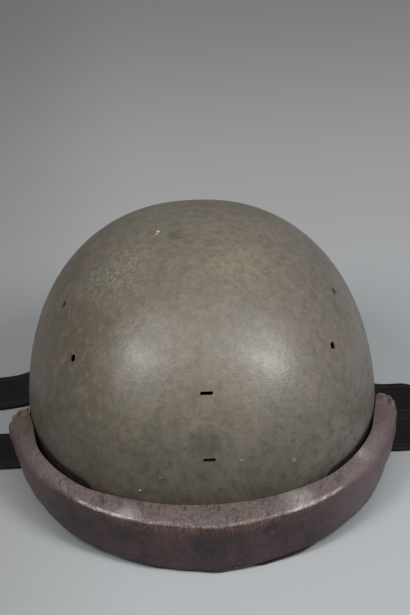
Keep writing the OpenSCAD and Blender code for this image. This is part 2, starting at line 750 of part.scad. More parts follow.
module buckle_frame() {
    far = buckle_x + buckle_length;
    color(steel) translate([0, left_strap_y, buckle_z]) {
        for (x = [buckle_x, far]) {
            rod([x, -buckle_half, 0], [x, buckle_half, 0], wire_diameter);
            for (s = [-1, 1]) translate([x, s * buckle_half, 0]) sphere(d = wire_diameter + hair);
        }
        for (s = [-1, 1])
            rod([buckle_x, s * buckle_half, 0], [far, s * buckle_half, 0], wire_diameter);
    }
}

module buckle_prong() {
    eye = wire_diameter / 2 + clearance;
    rest = wire_diameter / 2 + clearance + prong_sheet / 2;
    far = buckle_length + wire_diameter;
    line = [[eye + 0.8, 0.4], [buckle_length * 0.45, rest * 0.8], [far, rest]];
    color(steel) translate([buckle_x, left_strap_y, buckle_z]) difference() {
        union() {
            rotate([90, 0, 0]) cylinder(r = eye + 1.3, h = prong_width, center = true);
            intersection() {
                upright(prong_width) polygon(ribbon(line, prong_sheet));
                linear_extrude(height = cut_depth, center = true) polygon([
                    [0, -prong_width / 2], [far * 0.6, -prong_width / 2 + 0.2], [far, -0.8],
                    [far, 0.8], [far * 0.6, prong_width / 2 - 0.2], [0, prong_width / 2]]);
            }
        }
        rotate([90, 0, 0]) cylinder(r = eye, h = cut_depth, center = true);
    }
}

// Leather loop that slides on the left strap
module strap_keeper() {
    room = [keeper_width, strap_width + 2 * clearance, strap_thickness + rest_gap + keeper_room];
    body = room + [0, 2 * keeper_thickness, 2 * keeper_thickness];
    color(black_leather) translate([keeper_x, left_strap_y, rest_gap]) difference() {
        translate([-body[0] / 2, -body[1] / 2, 0]) cube(body);
        translate([-body[0], -room[1] / 2, keeper_thickness]) cube([2 * body[0], room[1], room[2]]);
    }
}

shell();
bumper_cover();
bumper_core();
bumper_backing();
bumper_lip();
bumper_clips();
felt_band();
sweatband();
crown_leather();
crown_lace();
bracket_front();
bracket_rear();
bracket_right();
bracket_left();
liner_rivets();
spacer_front_right();
spacer_front_left();
spacer_rear_right();
spacer_rear_left();
anchor_front_right();
anchor_rear_right();
anchor_front_left();
anchor_rear_left();
right_front_leg();
right_rear_leg();
right_main_strap();
right_strap_rivets();
left_front_leg();
left_rear_leg();
left_main_strap();
left_strap_rivets();
buckle_frame();
buckle_prong();
strap_keeper();
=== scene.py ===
import math

import bpy
from mathutils import Matrix, Vector


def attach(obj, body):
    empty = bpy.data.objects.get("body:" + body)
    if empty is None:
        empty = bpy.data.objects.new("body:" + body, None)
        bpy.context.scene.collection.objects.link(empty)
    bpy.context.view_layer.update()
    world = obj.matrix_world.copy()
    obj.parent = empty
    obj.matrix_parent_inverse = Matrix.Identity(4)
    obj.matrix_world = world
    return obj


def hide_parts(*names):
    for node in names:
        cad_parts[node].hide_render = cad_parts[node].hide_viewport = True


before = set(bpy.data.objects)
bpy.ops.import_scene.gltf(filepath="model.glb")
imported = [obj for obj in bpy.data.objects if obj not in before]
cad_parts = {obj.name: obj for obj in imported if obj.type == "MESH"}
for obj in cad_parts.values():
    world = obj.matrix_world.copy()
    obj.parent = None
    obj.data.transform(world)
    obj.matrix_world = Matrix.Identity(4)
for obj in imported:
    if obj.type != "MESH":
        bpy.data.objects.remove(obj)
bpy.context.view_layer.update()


# Helpers. Sizes are in metres and angles in degrees, as in the solids
def clearSelection():
    if bpy.context.object and bpy.context.object.mode != "OBJECT":
        bpy.ops.object.mode_set(mode="OBJECT")
    bpy.ops.object.select_all(action="DESELECT")


def takeOnly(piece):
    clearSelection()
    piece.select_set(True)
    bpy.context.view_layer.objects.active = piece


def added(operator, **settings):
    clearSelection()
    operator(**settings)
    return bpy.context.object


def editAll(piece):
    takeOnly(piece)
    bpy.ops.object.mode_set(mode="EDIT")
    bpy.ops.mesh.select_all(action="SELECT")


def leaveEdit():
    bpy.ops.object.mode_set(mode="OBJECT")


def editNone(piece, kind):
    takeOnly(piece)
    bpy.ops.object.mode_set(mode="EDIT")
    bpy.ops.mesh.select_mode(type=kind)
    bpy.ops.mesh.select_all(action="DESELECT")
    leaveEdit()


def mergeVertices(piece, test):
    editNone(piece, "VERT")
    for vertex in piece.data.vertices:
        vertex.select = test(vertex)
    bpy.ops.object.mode_set(mode="EDIT")
    bpy.ops.mesh.merge(type="CENTER")
    leaveEdit()


def placeVertices(piece, place):
    for vertex in piece.data.vertices:
        vertex.co = place(vertex.co.copy())
    piece.data.update()


def applyModifier(piece, kind, **settings):
    takeOnly(piece)
    modifier = piece.modifiers.new(kind.title(), kind)
    for key, value in settings.items():
        setattr(modifier, key, value)
    bpy.ops.object.modifier_apply(modifier=modifier.name)


def thicken(piece, thickness, offset=-1, even=True):
    applyModifier(piece, "SOLIDIFY", thickness=thickness, offset=offset, use_even_offset=even)


def softenEdges(piece, width):
    applyModifier(piece, "BEVEL", width=width, segments=2, limit_method="ANGLE", angle_limit=math.radians(50))


def faceOutwards(piece, weld=False):
    editAll(piece)
    if weld:
        bpy.ops.mesh.remove_doubles(threshold=0.00002)
    bpy.ops.mesh.normals_make_consistent(inside=False)
    leaveEdit()


def smoothShade(piece, angle):
    takeOnly(piece)
    bpy.ops.object.shade_smooth_by_angle(angle=math.radians(angle))


def openDrum(around, rows):
    # A unit drum, open at both ends, whose height counts its rows
    piece = added(bpy.ops.mesh.primitive_circle_add, vertices=around, radius=1)
    editAll(piece)
    for _ in range(rows):
        bpy.ops.mesh.extrude_region_move(TRANSFORM_OT_translate={"value": (0, 0, 1)})
    leaveEdit()
    return piece


def flatStrip(along, across):
    return added(bpy.ops.mesh.primitive_grid_add, x_subdivisions=along, y_subdivisions=across, size=1)


def bakePlace(piece, matrix):
    piece.data.transform(matrix)
    piece.matrix_world = Matrix.Identity(4)
    return piece


def peg(vertices, radius, depth, matrix):
    bar = added(bpy.ops.mesh.primitive_cylinder_add, vertices=vertices, radius=radius, depth=depth)
    return bakePlace(bar, matrix)


def joinPieces(parts):
    clearSelection()
    for part in parts:
        part.select_set(True)
    bpy.context.view_layer.objects.active = parts[0]
    if len(parts) > 1:
        bpy.ops.object.join()
    return bpy.context.object


def cutAway(piece, cutters):
    tool = joinPieces(cutters)
    applyModifier(piece, "BOOLEAN", operation="DIFFERENCE", solver="EXACT", object=tool)
    bpy.data.objects.remove(tool)


def copiesAt(blank, places):
    # A copy of one small form at each place; the blank itself goes
    copies = []
    for matrix in places:
        copy = blank.copy()
        copy.data = blank.data.copy()
        copy.data.transform(matrix)
        bpy.context.scene.collection.objects.link(copy)
        copies.append(copy)
    bpy.data.objects.remove(blank)
    return copies


def placed(point, first, second, third):
    return Matrix.Translation(point) @ Matrix((first, second, third)).transposed().to_4x4()


def finishPiece(piece, name, material, body, replaces=()):
    piece.name = name
    piece.data.name = name
    piece.data.materials.clear()
    piece.data.materials.append(material)
    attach(piece, body)
    if replaces:
        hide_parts(*replaces)


def storeValues(piece, name, values):
    # One number on each vertex, which a material can read
    layer = piece.data.attributes.new(name, "FLOAT", "POINT")
    layer.data.foreach_set("value", values)


def storeValue(piece, name, valueAt):
    storeValues(piece, name, [valueAt(vertex.co) for vertex in piece.data.vertices])


def smooth(share):
    share = min(1, max(0, share))
    return share * share * (3 - 2 * share)


def ease(value, zero, one):
    # Runs smoothly from 0, where the value equals zero, to 1, where it equals one
    return smooth((value - zero) / (one - zero))


def blend(low, high, share):
    return low + (high - low) * share


def angleOf(point):
    return math.degrees(math.atan2(point.x, -point.y))


def fromFront(angle):
    angle = angle % 360
    return 360 - angle if angle > 180 else angle


# Shapes of the bowl and the bumper. Left and right are the wearer's: left is +X, right is -X
bowl = {
    "width": 0.216, "length": 0.242, "crownHeight": 0.119, "browHeight": 0.030, "wall": 0.0012,
    "planPower": 2.25, "crownPower": 2.1,  # 2 is an ellipse
    "rimLift": 0.003, "neckFlare": 0.022, "hemHeight": 0.003, "hemBulge": 0.0005,
    "columns": 180, "lowerRows": 12, "domeRows": 46, "capAngle": 88.6,
    "badgeSlots": (0.060, 0.096), "badgeSlotSize": (0.0075, 0.002),
    "vents": ((77, 0.110), (51.2, 0.098)), "ventDiameter": 0.0046,
}
bumper = {
    "depth": 0.024, "endDepth": 0.0135, "top": 0.0315, "endTop": 0.0375, "endBottom": 0.0195,
    "sweep": 78, "tip": 83, "roundFrom": 0.885, "knobCores": (0.0, 0.46),
    "upperFold": (8, 0.34, 0.3, 2.15), "lowerFold": (12, 0.3, 0.6, 2.6),  # front power, start, length, end power
    "lean": 0.10, "toe": 0.0022, "gap": 0.0003, "leftGap": 0.0020, "rightGap": 0.0034, "rightLift": 0.0018,
    "startInset": 0.0001, "swell": 0.0016, "heldFold": 0.0028, "heldBack": 0.0022,
    "cloth": {"quality": 5, "mass": 0.4, "tension_stiffness": 25, "compression_stiffness": 25,
              "bending_stiffness": 4, "use_pressure": True, "uniform_pressure_force": 4},
    "pleats": 7, "pleatDepth": 0.0005, "endPinch": 0.0018, "weltFrom": 4, "weltTo": 31,
    "sectionPoints": 56, "stations": 150,
}


def planPoint(angle, grow=0.0, z=0.0):
    turn = math.radians(angle)
    power = bowl["planPower"]
    across = abs(math.sin(turn)) / (bowl["width"] / 2 + grow)
    along = abs(math.cos(turn)) / (bowl["length"] / 2 + grow)
    radius = (across ** power + along ** power) ** (-1 / power)
    return Vector((radius * math.sin(turn), -radius * math.cos(turn), z))


def bumperShare(angle):
    return min(1, fromFront(angle) / bumper["sweep"])


def bumperBottom(angle):
    return bumper["endBottom"] * bumperShare(angle) ** 1.5


def bumperCrest(angle):
    return blend(bumper["top"], bumper["endTop"], bumperShare(angle) ** 1.8)


def bumperMiddle(angle):
    return (bumperCrest(angle) + bumperBottom(angle)) / 2


def bumperReach(angle):
    return blend(bumper["endDepth"], bumper["depth"], max(0, 1 - bumperShare(angle) / 0.8) ** 2)


def bumperRound(angle):
    share = min(1, fromFront(angle) / bumper["tip"])
    rounded = max(0, share - bumper["roundFrom"]) / (1 - bumper["roundFrom"])
    return max(0.05, math.sqrt(max(0, 1 - rounded ** 2.3)))


def bumperSquare(angle, up):
    # The upper fold fades into a round roll sooner than the lower one
    first, start, length, last = bumper["upperFold"] if up > 0 else bumper["lowerFold"]
    return blend(first, last, smooth((bumperShare(angle) - start) / length))


def rimHeight(angle):
    if fromFront(angle) < bumper["sweep"]:
        return bowl["rimLift"] + bumperBottom(angle)
    side = bowl["rimLift"] + bumper["endBottom"]
    return side * (1 - ease(fromFront(angle), 122, 158))


def neckReach(angle, z):
    drop = max(0, (bowl["browHeight"] - z) / bowl["browHeight"])
    return bowl["neckFlare"] * ease(fromFront(angle), 105, 165) * drop ** 1.6


def bowlPoint(angle, row):
    if row <= bowl["lowerRows"]:
        z = blend(rimHeight(angle), bowl["browHeight"], row / bowl["lowerRows"])
        return planPoint(angle, neckReach(angle, z), z)
    climb = math.radians(bowl["capAngle"] * (row - bowl["lowerRows"]) / bowl["domeRows"])
    power = 2 / bowl["crownPower"]
    point = planPoint(angle) * math.cos(climb) ** power
    point.z = bowl["browHeight"] + bowl["crownHeight"] * math.sin(climb) ** power
    return point


def bowlPlace(angle, z):
    # A place on the bowl's outer face, its Z along the wall's normal
    def domePoint(height):
        rise = max(0, (height - bowl["browHeight"]) / bowl["crownHeight"])
        point = planPoint(angle) * (1 - rise ** bowl["crownPower"]) ** (1 / bowl["crownPower"])
        point.z = height
        return point

    point = domePoint(z)
    level = (planPoint(angle + 0.5) - planPoint(angle - 0.5)).normalized()
    normal = level.cross((domePoint(z + 0.0005) - point).normalized())
    return placed(point, level, normal.cross(level), normal)


# Materials
def linear(shades):
    # A screen colour of 0 to 255 as the linear one that a shader takes
    return tuple(c / 255 / 12.92 if c <= 10 else ((c / 255 + 0.055) / 1.055) ** 2.4 for c in shades) + (1,)


def addNode(tree, kind, inputs=None, **settings):
    node = tree.nodes.new("ShaderNode" + kind)
    for key, value in settings.items():
        setattr(node, key, value)
    for key, value in (inputs or {}).items():
        if isinstance(value, bpy.types.NodeSocket):
            tree.links.new(value, node.inputs[key])
        else:
            node.inputs[key].default_value = value
    return node


class Surface:
    # A material in the making, with its colour so far
    def __init__(self, name, roughness=0.5, metallic=0.0, specular=0.5):
        self.material = bpy.data.materials.new(name)
        self.material.use_nodes = True
        self.tree = self.material.node_tree
        self.shader = self.tree.nodes["Principled BSDF"]
        for key, value in (("Roughness", roughness), ("Metallic", metallic), ("Specular IOR Level", specular)):
            self.shader.inputs[key].default_value = value
        self.place = self.node("TexCoord").outputs["Object"]
        self.colour = None

    def node(self, kind, inputs=None, **settings):
        return addNode(self.tree, kind, inputs, **settings)

    def noise(self, scale, detail, roughness, distortion=0, stretch=None, turn=0):
        place = self.place
        if stretch:
            place = self.node("Mapping", {"Vector": place, "Rotation": (0, 0, turn), "Scale": stretch}).outputs[0]
        return self.node("TexNoise", {"Vector": place, "Scale": scale, "Detail": detail, "Roughness": roughness,
                                      "Distortion": distortion}).outputs["Fac"]

    def cells(self, scale, feature="DISTANCE_TO_EDGE"):
        return self.node("TexVoronoi", {"Vector": self.place, "Scale": scale}, feature=feature).outputs["Distance"]

    def ramp(self, value, low, high, first=0.0, last=1.0):
        return self.node("MapRange", {"Value": value, "From Min": low, "From Max": high, "To Min": first,
                                      "To Max": last}, interpolation_type="SMOOTHSTEP").outputs["Result"]

    def maths(self, operation, *values, clamp=False):
        return self.node("Math", dict(enumerate(values)), operation=operation, use_clamp=clamp).outputs[0]

    def times(self, first, second):
        return self.maths("MULTIPLY", first, second, clamp=True)

    def vector(self, operation, inputs):
        return self.node("VectorMath", inputs, operation=operation).outputs

    def axis(self, name, vector=None):
        return self.node("SeparateXYZ", {0: self.place if vector is None else vector}).outputs[name]

    def attribute(self, name):
        return self.node("Attribute", attribute_name=name).outputs["Fac"]

    def spot(self, point, radius, noise, soft):
        # A patch with a broken edge round one point
        away = self.vector("DISTANCE", {0: self.place, 1: point})["Value"]
        rough = self.maths("MULTIPLY_ADD", noise, radius * 1.4, away)
        return self.ramp(rough, radius * 1.7, radius * (1.7 - soft))

    def line(self, points, radius):
        # A fine line through a row of points
        nearest = None
        for first, second in zip(points, points[1:]):
            along = Vector(second) - Vector(first)
            offset = self.vector("SUBTRACT", {0: self.place, 1: first})[0]
            dot = self.vector("DOT_PRODUCT", {0: offset, 1: along / along.length_squared})["Value"]
            foot = self.vector("SCALE", {0: along, "Scale": self.times(dot, 1.0)})[0]
            away = self.vector("DISTANCE", {0: offset, 1: foot})["Value"]
            nearest = self.maths("MINIMUM", nearest, away, clamp=True) if nearest else away
        return self.ramp(nearest, radius * 1.5, radius * 0.4)

    def base(self, share, first, second):
        self.colour = linear(first)
        self.tint(share, second)

    def tint(self, share, shades):
        # Lays one more colour over the colour so far
        self.colour = self.node("Mix", {0: share, 6: self.colour, 7: linear(shades)}, data_type="RGBA").outputs[2]

    def bump(self, height, distance, strength):
        bump = self.node("Bump", {"Height": height, "Distance": distance, "Strength": strength})
        before = self.shader.inputs["Normal"].links
        if before:
            self.tree.links.new(before[0].from_socket, bump.inputs["Normal"])
        self.tree.links.new(bump.outputs["Normal"], self.shader.inputs["Normal"])

    def finish(self, roughness=None):
        self.tree.links.new(self.colour, self.shader.inputs["Base Color"])
        if roughness:
            self.tree.links.new(roughness, self.shader.inputs["Roughness"])
        return self.material


# Wear of the paint: places on the bowl, sizes, and how strongly a mark shows
paintWear = {
    "hairline": ((0.0184, -0.0142, 0.1470), (0.0121, -0.0208, 0.1469), (0.0043, -0.0239, 0.1470),
                 (-0.0030, -0.0276, 0.1461), (-0.0074, -0.0348, 0.1443), (-0.0107, -0.0430, 0.1418),
                 (-0.0131, -0.0551, 0.1368), (-0.0142, -0.0651, 0.1314)),
    "chips": (((-0.0225, -0.0017, 0.1467), 0.0013), ((-0.0238, -0.0042, 0.1464), 0.0008),
              ((-0.0407, -0.1145, 0.0392), 0.0007)),
    "marks": (((-0.0135, -0.0100, 0.1478), 0.0080, 0.62), ((0.0426, -0.1110, 0.0584), 0.0011, 0.8),
              ((-0.0020, -0.1150, 0.0690), 0.0150, 0.6)),
}


def paintedSteel():
    skin = Surface("paintedSteel", specular=0.75)
    clouds = skin.noise(34, 7, 0.68, 0.4)
    cool = skin.noise(46, 5, 0.62, 0.8)
    fine = skin.noise(190, 4, 0.7)
    dapple = skin.noise(420, 5, 0.75, 1.2)
    grain = skin.noise(850, 2, 0.6)
    across, height = skin.axis("X"), skin.axis("Z")
    skin.base(skin.ramp(skin.noise(14, 5, 0.6), 0.36, 0.66), (101, 94, 82), (116, 108, 95))
    # Darker brown towards -X, partly the paint's tone and partly a painted shade on that side, and lighter grey
    # towards +X, partly a painted light; then green and warm patches
    skin.tint(skin.ramp(across, -0.015, -0.095, 0, 0.85), (82, 72, 57))
    skin.tint(skin.ramp(across, 0.0, 0.085, 0, 0.6), (119, 112, 108))
    skin.tint(skin.ramp(cool, 0.5, 0.64, 0, 0.34), (94, 97, 83))
    skin.tint(skin.ramp(cool, 0.5, 0.36, 0, 0.4), (120, 108, 99))
    skin.tint(skin.times(skin.spot((0.020, -0.036, 0.142), 0.036, clouds, 1.3), 0.7), (142, 129, 106))
    skin.tint(skin.times(skin.spot((-0.060, -0.060, 0.105), 0.042, clouds, 1.2), 0.75), (90, 79, 61))
    # Fine light and dark mottling
    skin.tint(skin.ramp(clouds, 0.5, 0.72, 0, 0.45), (98, 90, 72))
    skin.tint(skin.ramp(fine, 0.46, 0.70, 0, 0.4), (132, 125, 114))
    skin.tint(skin.ramp(fine, 0.5, 0.32, 0, 0.5), (84, 77, 65))
    skin.tint(skin.ramp(dapple, 0.52, 0.4, 0, 0.45), (88, 80, 66))
    skin.tint(skin.ramp(grain, 0.58, 0.7, 0, 0.4), (78, 73, 61))
    pale = skin.spot((-0.050, -0.025, 0.134), 0.034, clouds, 1.1)
    skin.tint(skin.times(pale, skin.ramp(dapple, 0.46, 0.62, 0, 0.6)), (150, 145, 134))
    # The low band: a painted shade that darkens towards the bottom and the bumper, with green patina and dark and
    # light flecks in it
    low = skin.times(skin.ramp(height, 0.088, 0.045), skin.ramp(clouds, 0.3, 0.62, 0.45, 0.95))
    skin.tint(skin.times(low, skin.ramp(across, 0.02, 0.09, 1, 0.7)), (76, 72, 61))
    skin.tint(skin.times(skin.spot((-0.066, -0.094, 0.052), 0.046, clouds, 1.2), 0.5), (99, 88, 72))
    skin.tint(skin.times(low, skin.ramp(cool, 0.46, 0.6, 0, 0.4)), (62, 63, 52))
    skin.tint(skin.times(low, skin.ramp(dapple, 0.54, 0.66, 0, 0.4)), (118, 111, 99))
    skin.tint(skin.times(low, skin.ramp(fine, 0.5, 0.36, 0, 0.55)), (52, 47, 38))
    specks = skin.times(skin.ramp(skin.noise(260, 1, 0.5), 0.76, 0.80), skin.ramp(height, 0.075, 0.05))
    skin.tint(skin.times(specks, 0.6), (158, 154, 142))
    # A painted shade: a dark line on the bowl just above the bumper's top at the sides, where the gap behind the
    # bumper lies in shade
    above = skin.attribute("aboveBumper")
    paintedGapShade = skin.times(skin.ramp(above, 0.0036, 0.0006), skin.ramp(above, -0.012, -0.006))
    skin.tint(skin.times(paintedGapShade, skin.ramp(fine, 0.3, 0.55, 0.7, 1)), (38, 34, 29))
    for point, radius, share in paintWear["marks"]:
        skin.tint(skin.times(skin.spot(point, radius, fine, 0.8), share), (70, 66, 55))
    hairline = skin.line(paintWear["hairline"], 0.0008)
    skin.tint(skin.times(hairline, skin.ramp(fine, 0.36, 0.62, 0, 0.34)), (70, 64, 55))
    for point, radius in paintWear["chips"]:
        skin.tint(skin.spot(point, radius, fine, 0.5), (192, 188, 178))
    skin.bump(skin.ramp(skin.cells(420, "F1"), 0.0, 0.55), 0.00014, 0.3)
    skin.bump(grain, 0.00014, 0.55)
    skin.bump(dapple, 0.00024, 0.5)
    skin.bump(clouds, 0.0006, 0.25)
    return skin.finish(skin.ramp(clouds, 0.3, 0.75, 0.33, 0.47))


# Marks on the bumper's leather: places and sizes of painted sheen patches on the top, and of worn chips
hideWear = {
    "sheenPatches": (((0.0520, -0.1230, 0.0330), 0.0170), ((-0.0480, -0.1260, 0.0330), 0.0120),
             ((0.0920, -0.0800, 0.0350), 0.0100)),
    "chips": (((0.0010, -0.1452, 0.0310), 0.0020), ((-0.0280, -0.1420, 0.0316), 0.0025),
              ((-0.0180, -0.1440, 0.0316), 0.0019), ((-0.0350, -0.1395, 0.0316), 0.0015),
              ((0.0960, -0.0880, 0.0360), 0.0012), ((-0.0880, -0.1010, 0.0350), 0.0014)),
}


def bumperHide():
    skin = Surface("bumperHide")
    worn, below, gathers = (skin.attribute(name) for name in ("edgeWear", "belowEdge", "gathers"))
    fine = skin.noise(420, 4, 0.7)
    blotch = skin.noise(60, 6, 0.65, 0.6)
    tufts = skin.noise(150, 4, 0.7)
    fibre = skin.noise(620, 5, 0.75, 0.8, stretch=(1, 1, 0.5))
    wrinkle = skin.noise(330, 5, 0.7, 2.5)
    folds = skin.noise(210, 4, 0.6, 1.4, stretch=(1, 0.32, 0.6), turn=0.6)
    creases = skin.cells(520)
    upward = skin.axis("Z", skin.node("NewGeometry").outputs["Normal"])
    across = skin.axis("X")
    middle = skin.ramp(skin.maths("ABSOLUTE", skin.maths("ADD", across, 0.012)), 0.085, 0.025)
    tips = skin.ramp(skin.attribute("nearTip"), 0.05, 1.0)
    top = skin.ramp(upward, 0.5, 0.95)
    skin.base(skin.ramp(blotch, 0.35, 0.68), (44, 31, 33), (70, 50, 51))
    skin.tint(skin.ramp(fine, 0.54, 0.76, 0, 0.4), (92, 75, 73))
    # Dust and a painted light that lighten upward faces, and wrinkles on the top
    dustAndTopLight = skin.times(skin.ramp(upward, 0.4, 0.95), skin.ramp(fine, 0.25, 0.6, 0.3, 0.85))
    skin.tint(skin.times(dustAndTopLight, skin.ramp(tips, 0, 0.8, 1, 0.15)), (118, 106, 103))
    skin.tint(skin.times(top, skin.ramp(wrinkle, 0.5, 0.7, 0, 0.45)), (140, 125, 121))
    skin.tint(skin.times(top, skin.ramp(wrinkle, 0.46, 0.3, 0, 0.4)), (60, 48, 48))
    skin.tint(skin.times(top, skin.ramp(blotch, 0.5, 0.36, 0, 0.45)), (66, 54, 53))
    # Rust brown that hangs below the front fold, the rubbed fold itself, and painted glints on the fold
    depth = skin.maths("MULTIPLY_ADD", middle, -0.0065, below)
    hanging = skin.times(skin.ramp(depth, 0.0035, -0.003), skin.ramp(fibre, 0.44, 0.6))
    rust = skin.times(skin.times(hanging, skin.ramp(middle, 0, 0.4)), skin.ramp(upward, 0.75, 0.3))
    skin.tint(skin.times(rust, 0.6), (112, 84, 68))
    frayed = skin.times(skin.ramp(fibre, 0.42, 0.62), skin.ramp(tufts, 0.42, 0.62, 0.15, 0.9))
    skin.tint(skin.times(skin.times(skin.ramp(worn, 0.3, 0.9), frayed), 0.8), (158, 132, 112))
    # A painted highlight: near-white glints along the front fold's worn edge on both sides of the middle
    paintedGlint = skin.ramp(skin.attribute("paintedGlint"), 0.45, 0.95)
    skin.tint(skin.times(paintedGlint, skin.ramp(tufts, 0.4, 0.62, 0.1, 0.9)), (184, 176, 172))
    for point, radius in hideWear["chips"]:
        skin.tint(skin.spot(point, radius, fine, 0.6), (186, 152, 122))
    # Painted sheen: pale patches on the top faces
    for point, radius in hideWear["sheenPatches"]:
        sheenPatch = skin.times(skin.spot(point, radius, blotch, 1.4), skin.ramp(tufts, 0.3, 0.6, 0.45, 0.95))
        skin.tint(skin.times(sheenPatch, top), (190, 182, 180))
    # The ends: tan tips, folds, a lighter outer face and gathers
    skin.tint(skin.times(skin.ramp(tips, 0.4, 1, 0, 0.45), skin.ramp(blotch, 0.35, 0.6, 0.2, 1)), (94, 75, 62))
    skin.tint(skin.ramp(folds, 0.46, 0.34, 0, 0.5), (42, 31, 31))
    skin.tint(skin.ramp(across, 0.05, 0.1, 0, 0.4), (124, 107, 108))
    skin.tint(skin.ramp(across, -0.085, -0.112, 0, 0.32), (116, 98, 90))
    ridges = skin.times(skin.ramp(gathers, 0.56, 0.9), skin.ramp(tufts, 0.38, 0.6, 0.2, 0.8))
    skin.tint(ridges, (138, 112, 90))
    # Painted shade in the hollows between the gathers
    skin.tint(skin.ramp(gathers, 0.42, 0.1, 0, 0.7), (38, 29, 28))
    skin.tint(skin.ramp(creases, 0.05, 0.0, 0, 0.3), (34, 26, 27))
    skin.bump(skin.ramp(creases, 0.0, 0.12), 0.00018, 0.7)
    skin.bump(wrinkle, 0.0006, 0.35)
    skin.bump(folds, 0.0016, 0.45)
    skin.bump(blotch, 0.0012, 0.4)
    rough, polished = skin.ramp(fine, 0.3, 0.8, 0.30, 0.46), skin.ramp(worn, 0.25, 0.8, 0, 0.16)
    return skin.finish(skin.maths("SUBTRACT", rough, polished, clamp=True))


def strapHide(name, dark, light, worn, roughness):
    skin = Surface(name, specular=0.17)
    edge = skin.attribute("edgeShare")
    fine = skin.noise(520, 4, 0.7)
    blotch = skin.noise(45, 6, 0.6)
    creases = skin.cells(640)
    skin.base(skin.ramp(blotch, 0.35, 0.7), dark, light)
    # A tooled crease near each edge, pressed in by the bump and lighter in colour: a painted highlight along the
    # crease
    tooledCreaseHighlight = skin.times(skin.ramp(edge, 0.72, 0.77), skin.ramp(edge, 0.83, 0.78))
    skin.tint(skin.times(tooledCreaseHighlight, 0.45), worn)
    rubbed = skin.times(skin.ramp(edge, 0.93, 1.0), skin.ramp(fine, 0.42, 0.6))
    skin.tint(skin.times(rubbed, 0.55), worn)
    skin.tint(skin.ramp(creases, 0.05, 0.0, 0, 0.6), (13, 11, 12))
    skin.bump(skin.ramp(creases, 0.0, 0.12), 0.00012, 0.6)
    skin.bump(tooledCreaseHighlight, 0.0004, -0.8)
    skin.bump(blotch, 0.0005, 0.25)
    return skin.finish(skin.ramp(fine, 0.3, 0.8, roughness - 0.08, roughness + 0.12))


def feltCloth():
    skin = Surface("feltCloth", roughness=0.95)
    fibres = skin.noise(700, 6, 0.8, 1.5)
    skin.base(skin.ramp(skin.noise(120, 5, 0.7), 0.35, 0.65), (96, 91, 80), (124, 118, 104))
    skin.tint(skin.ramp(fibres, 0.5, 0.7, 0, 0.6), (146, 141, 128))
    skin.bump(fibres, 0.0004, 0.8)
    return skin.finish()


def cordCloth(name, dark, light):
    skin = Surface(name, roughness=0.85)
    strands = skin.noise(900, 3, 0.6, stretch=(1, 1, 0.4))
    skin.base(skin.ramp(strands, 0.4, 0.62), dark, light)
    skin.bump(strands, 0.0002, 0.8)
    return skin.finish()


def dullSteel():
    skin = Surface("dullSteel", metallic=1.0)
    blotch = skin.noise(160, 5, 0.7)
    skin.base(skin.ramp(blotch, 0.4, 0.7), (150, 148, 144), (112, 108, 102))
    skin.tint(skin.ramp(blotch, 0.6, 0.72, 0, 0.7), (104, 72, 50))
    skin.bump(skin.noise(900, 3, 0.6), 0.00006, 0.5)
    return skin.finish(skin.ramp(blotch, 0.4, 0.72, 0.3, 0.7))


def softAluminium():
    skin = Surface("softAluminium", roughness=0.38, metallic=1.0)
    rolled = skin.noise(220, 3, 0.5, stretch=(1, 1, 8))
    skin.base(skin.ramp(rolled, 0.35, 0.65), (176, 177, 178), (205, 206, 207))
    skin.tint(skin.ramp(skin.noise(260, 5, 0.7), 0.6, 0.75, 0, 0.6), (138, 136, 130))
    skin.bump(rolled, 0.00008, 0.5)
    return skin.finish()


print("materials")
paint = paintedSteel()
hide = bumperHide()
strapLeather = strapHide("strapHide", (12, 9, 13), (24, 19, 24), (62, 52, 50), 0.48)
weltLeather = strapHide("weltHide", (38, 25, 27), (56, 38, 39), (84, 60, 54), 0.4)
linerLeather = strapHide("linerHide", (38, 29, 25), (70, 55, 46), (104, 84, 66), 0.6)
felt = feltCloth()
laceCord = cordCloth("laceCord", (120, 103, 74), (176, 158, 124))
thread = cordCloth("strapThread", (46, 40, 40), (86, 77, 72))
steel = dullSteel()
aluminium = softAluminium()


# Bowl
def roundBar(length, width, matrix):
    # A slot's cutter with round ends
    cutter = added(bpy.ops.mesh.primitive_cube_add, size=1, scale=(length, width, 0.012))
    bpy.ops.object.transform_apply(location=False, rotation=False, scale=True)
    editNone(cutter, "EDGE")
    for edge in cutter.data.edges:
        first, second = (cutter.data.vertices[i].co for i in edge.vertices)
        edge.select = abs(first.z - second.z) > 0.005
    bpy.ops.object.mode_set(mode="EDIT")
    bpy.ops.mesh.bevel(offset=width * 0.48, segments=6)
    leaveEdit()
    return bakePlace(cutter, matrix)


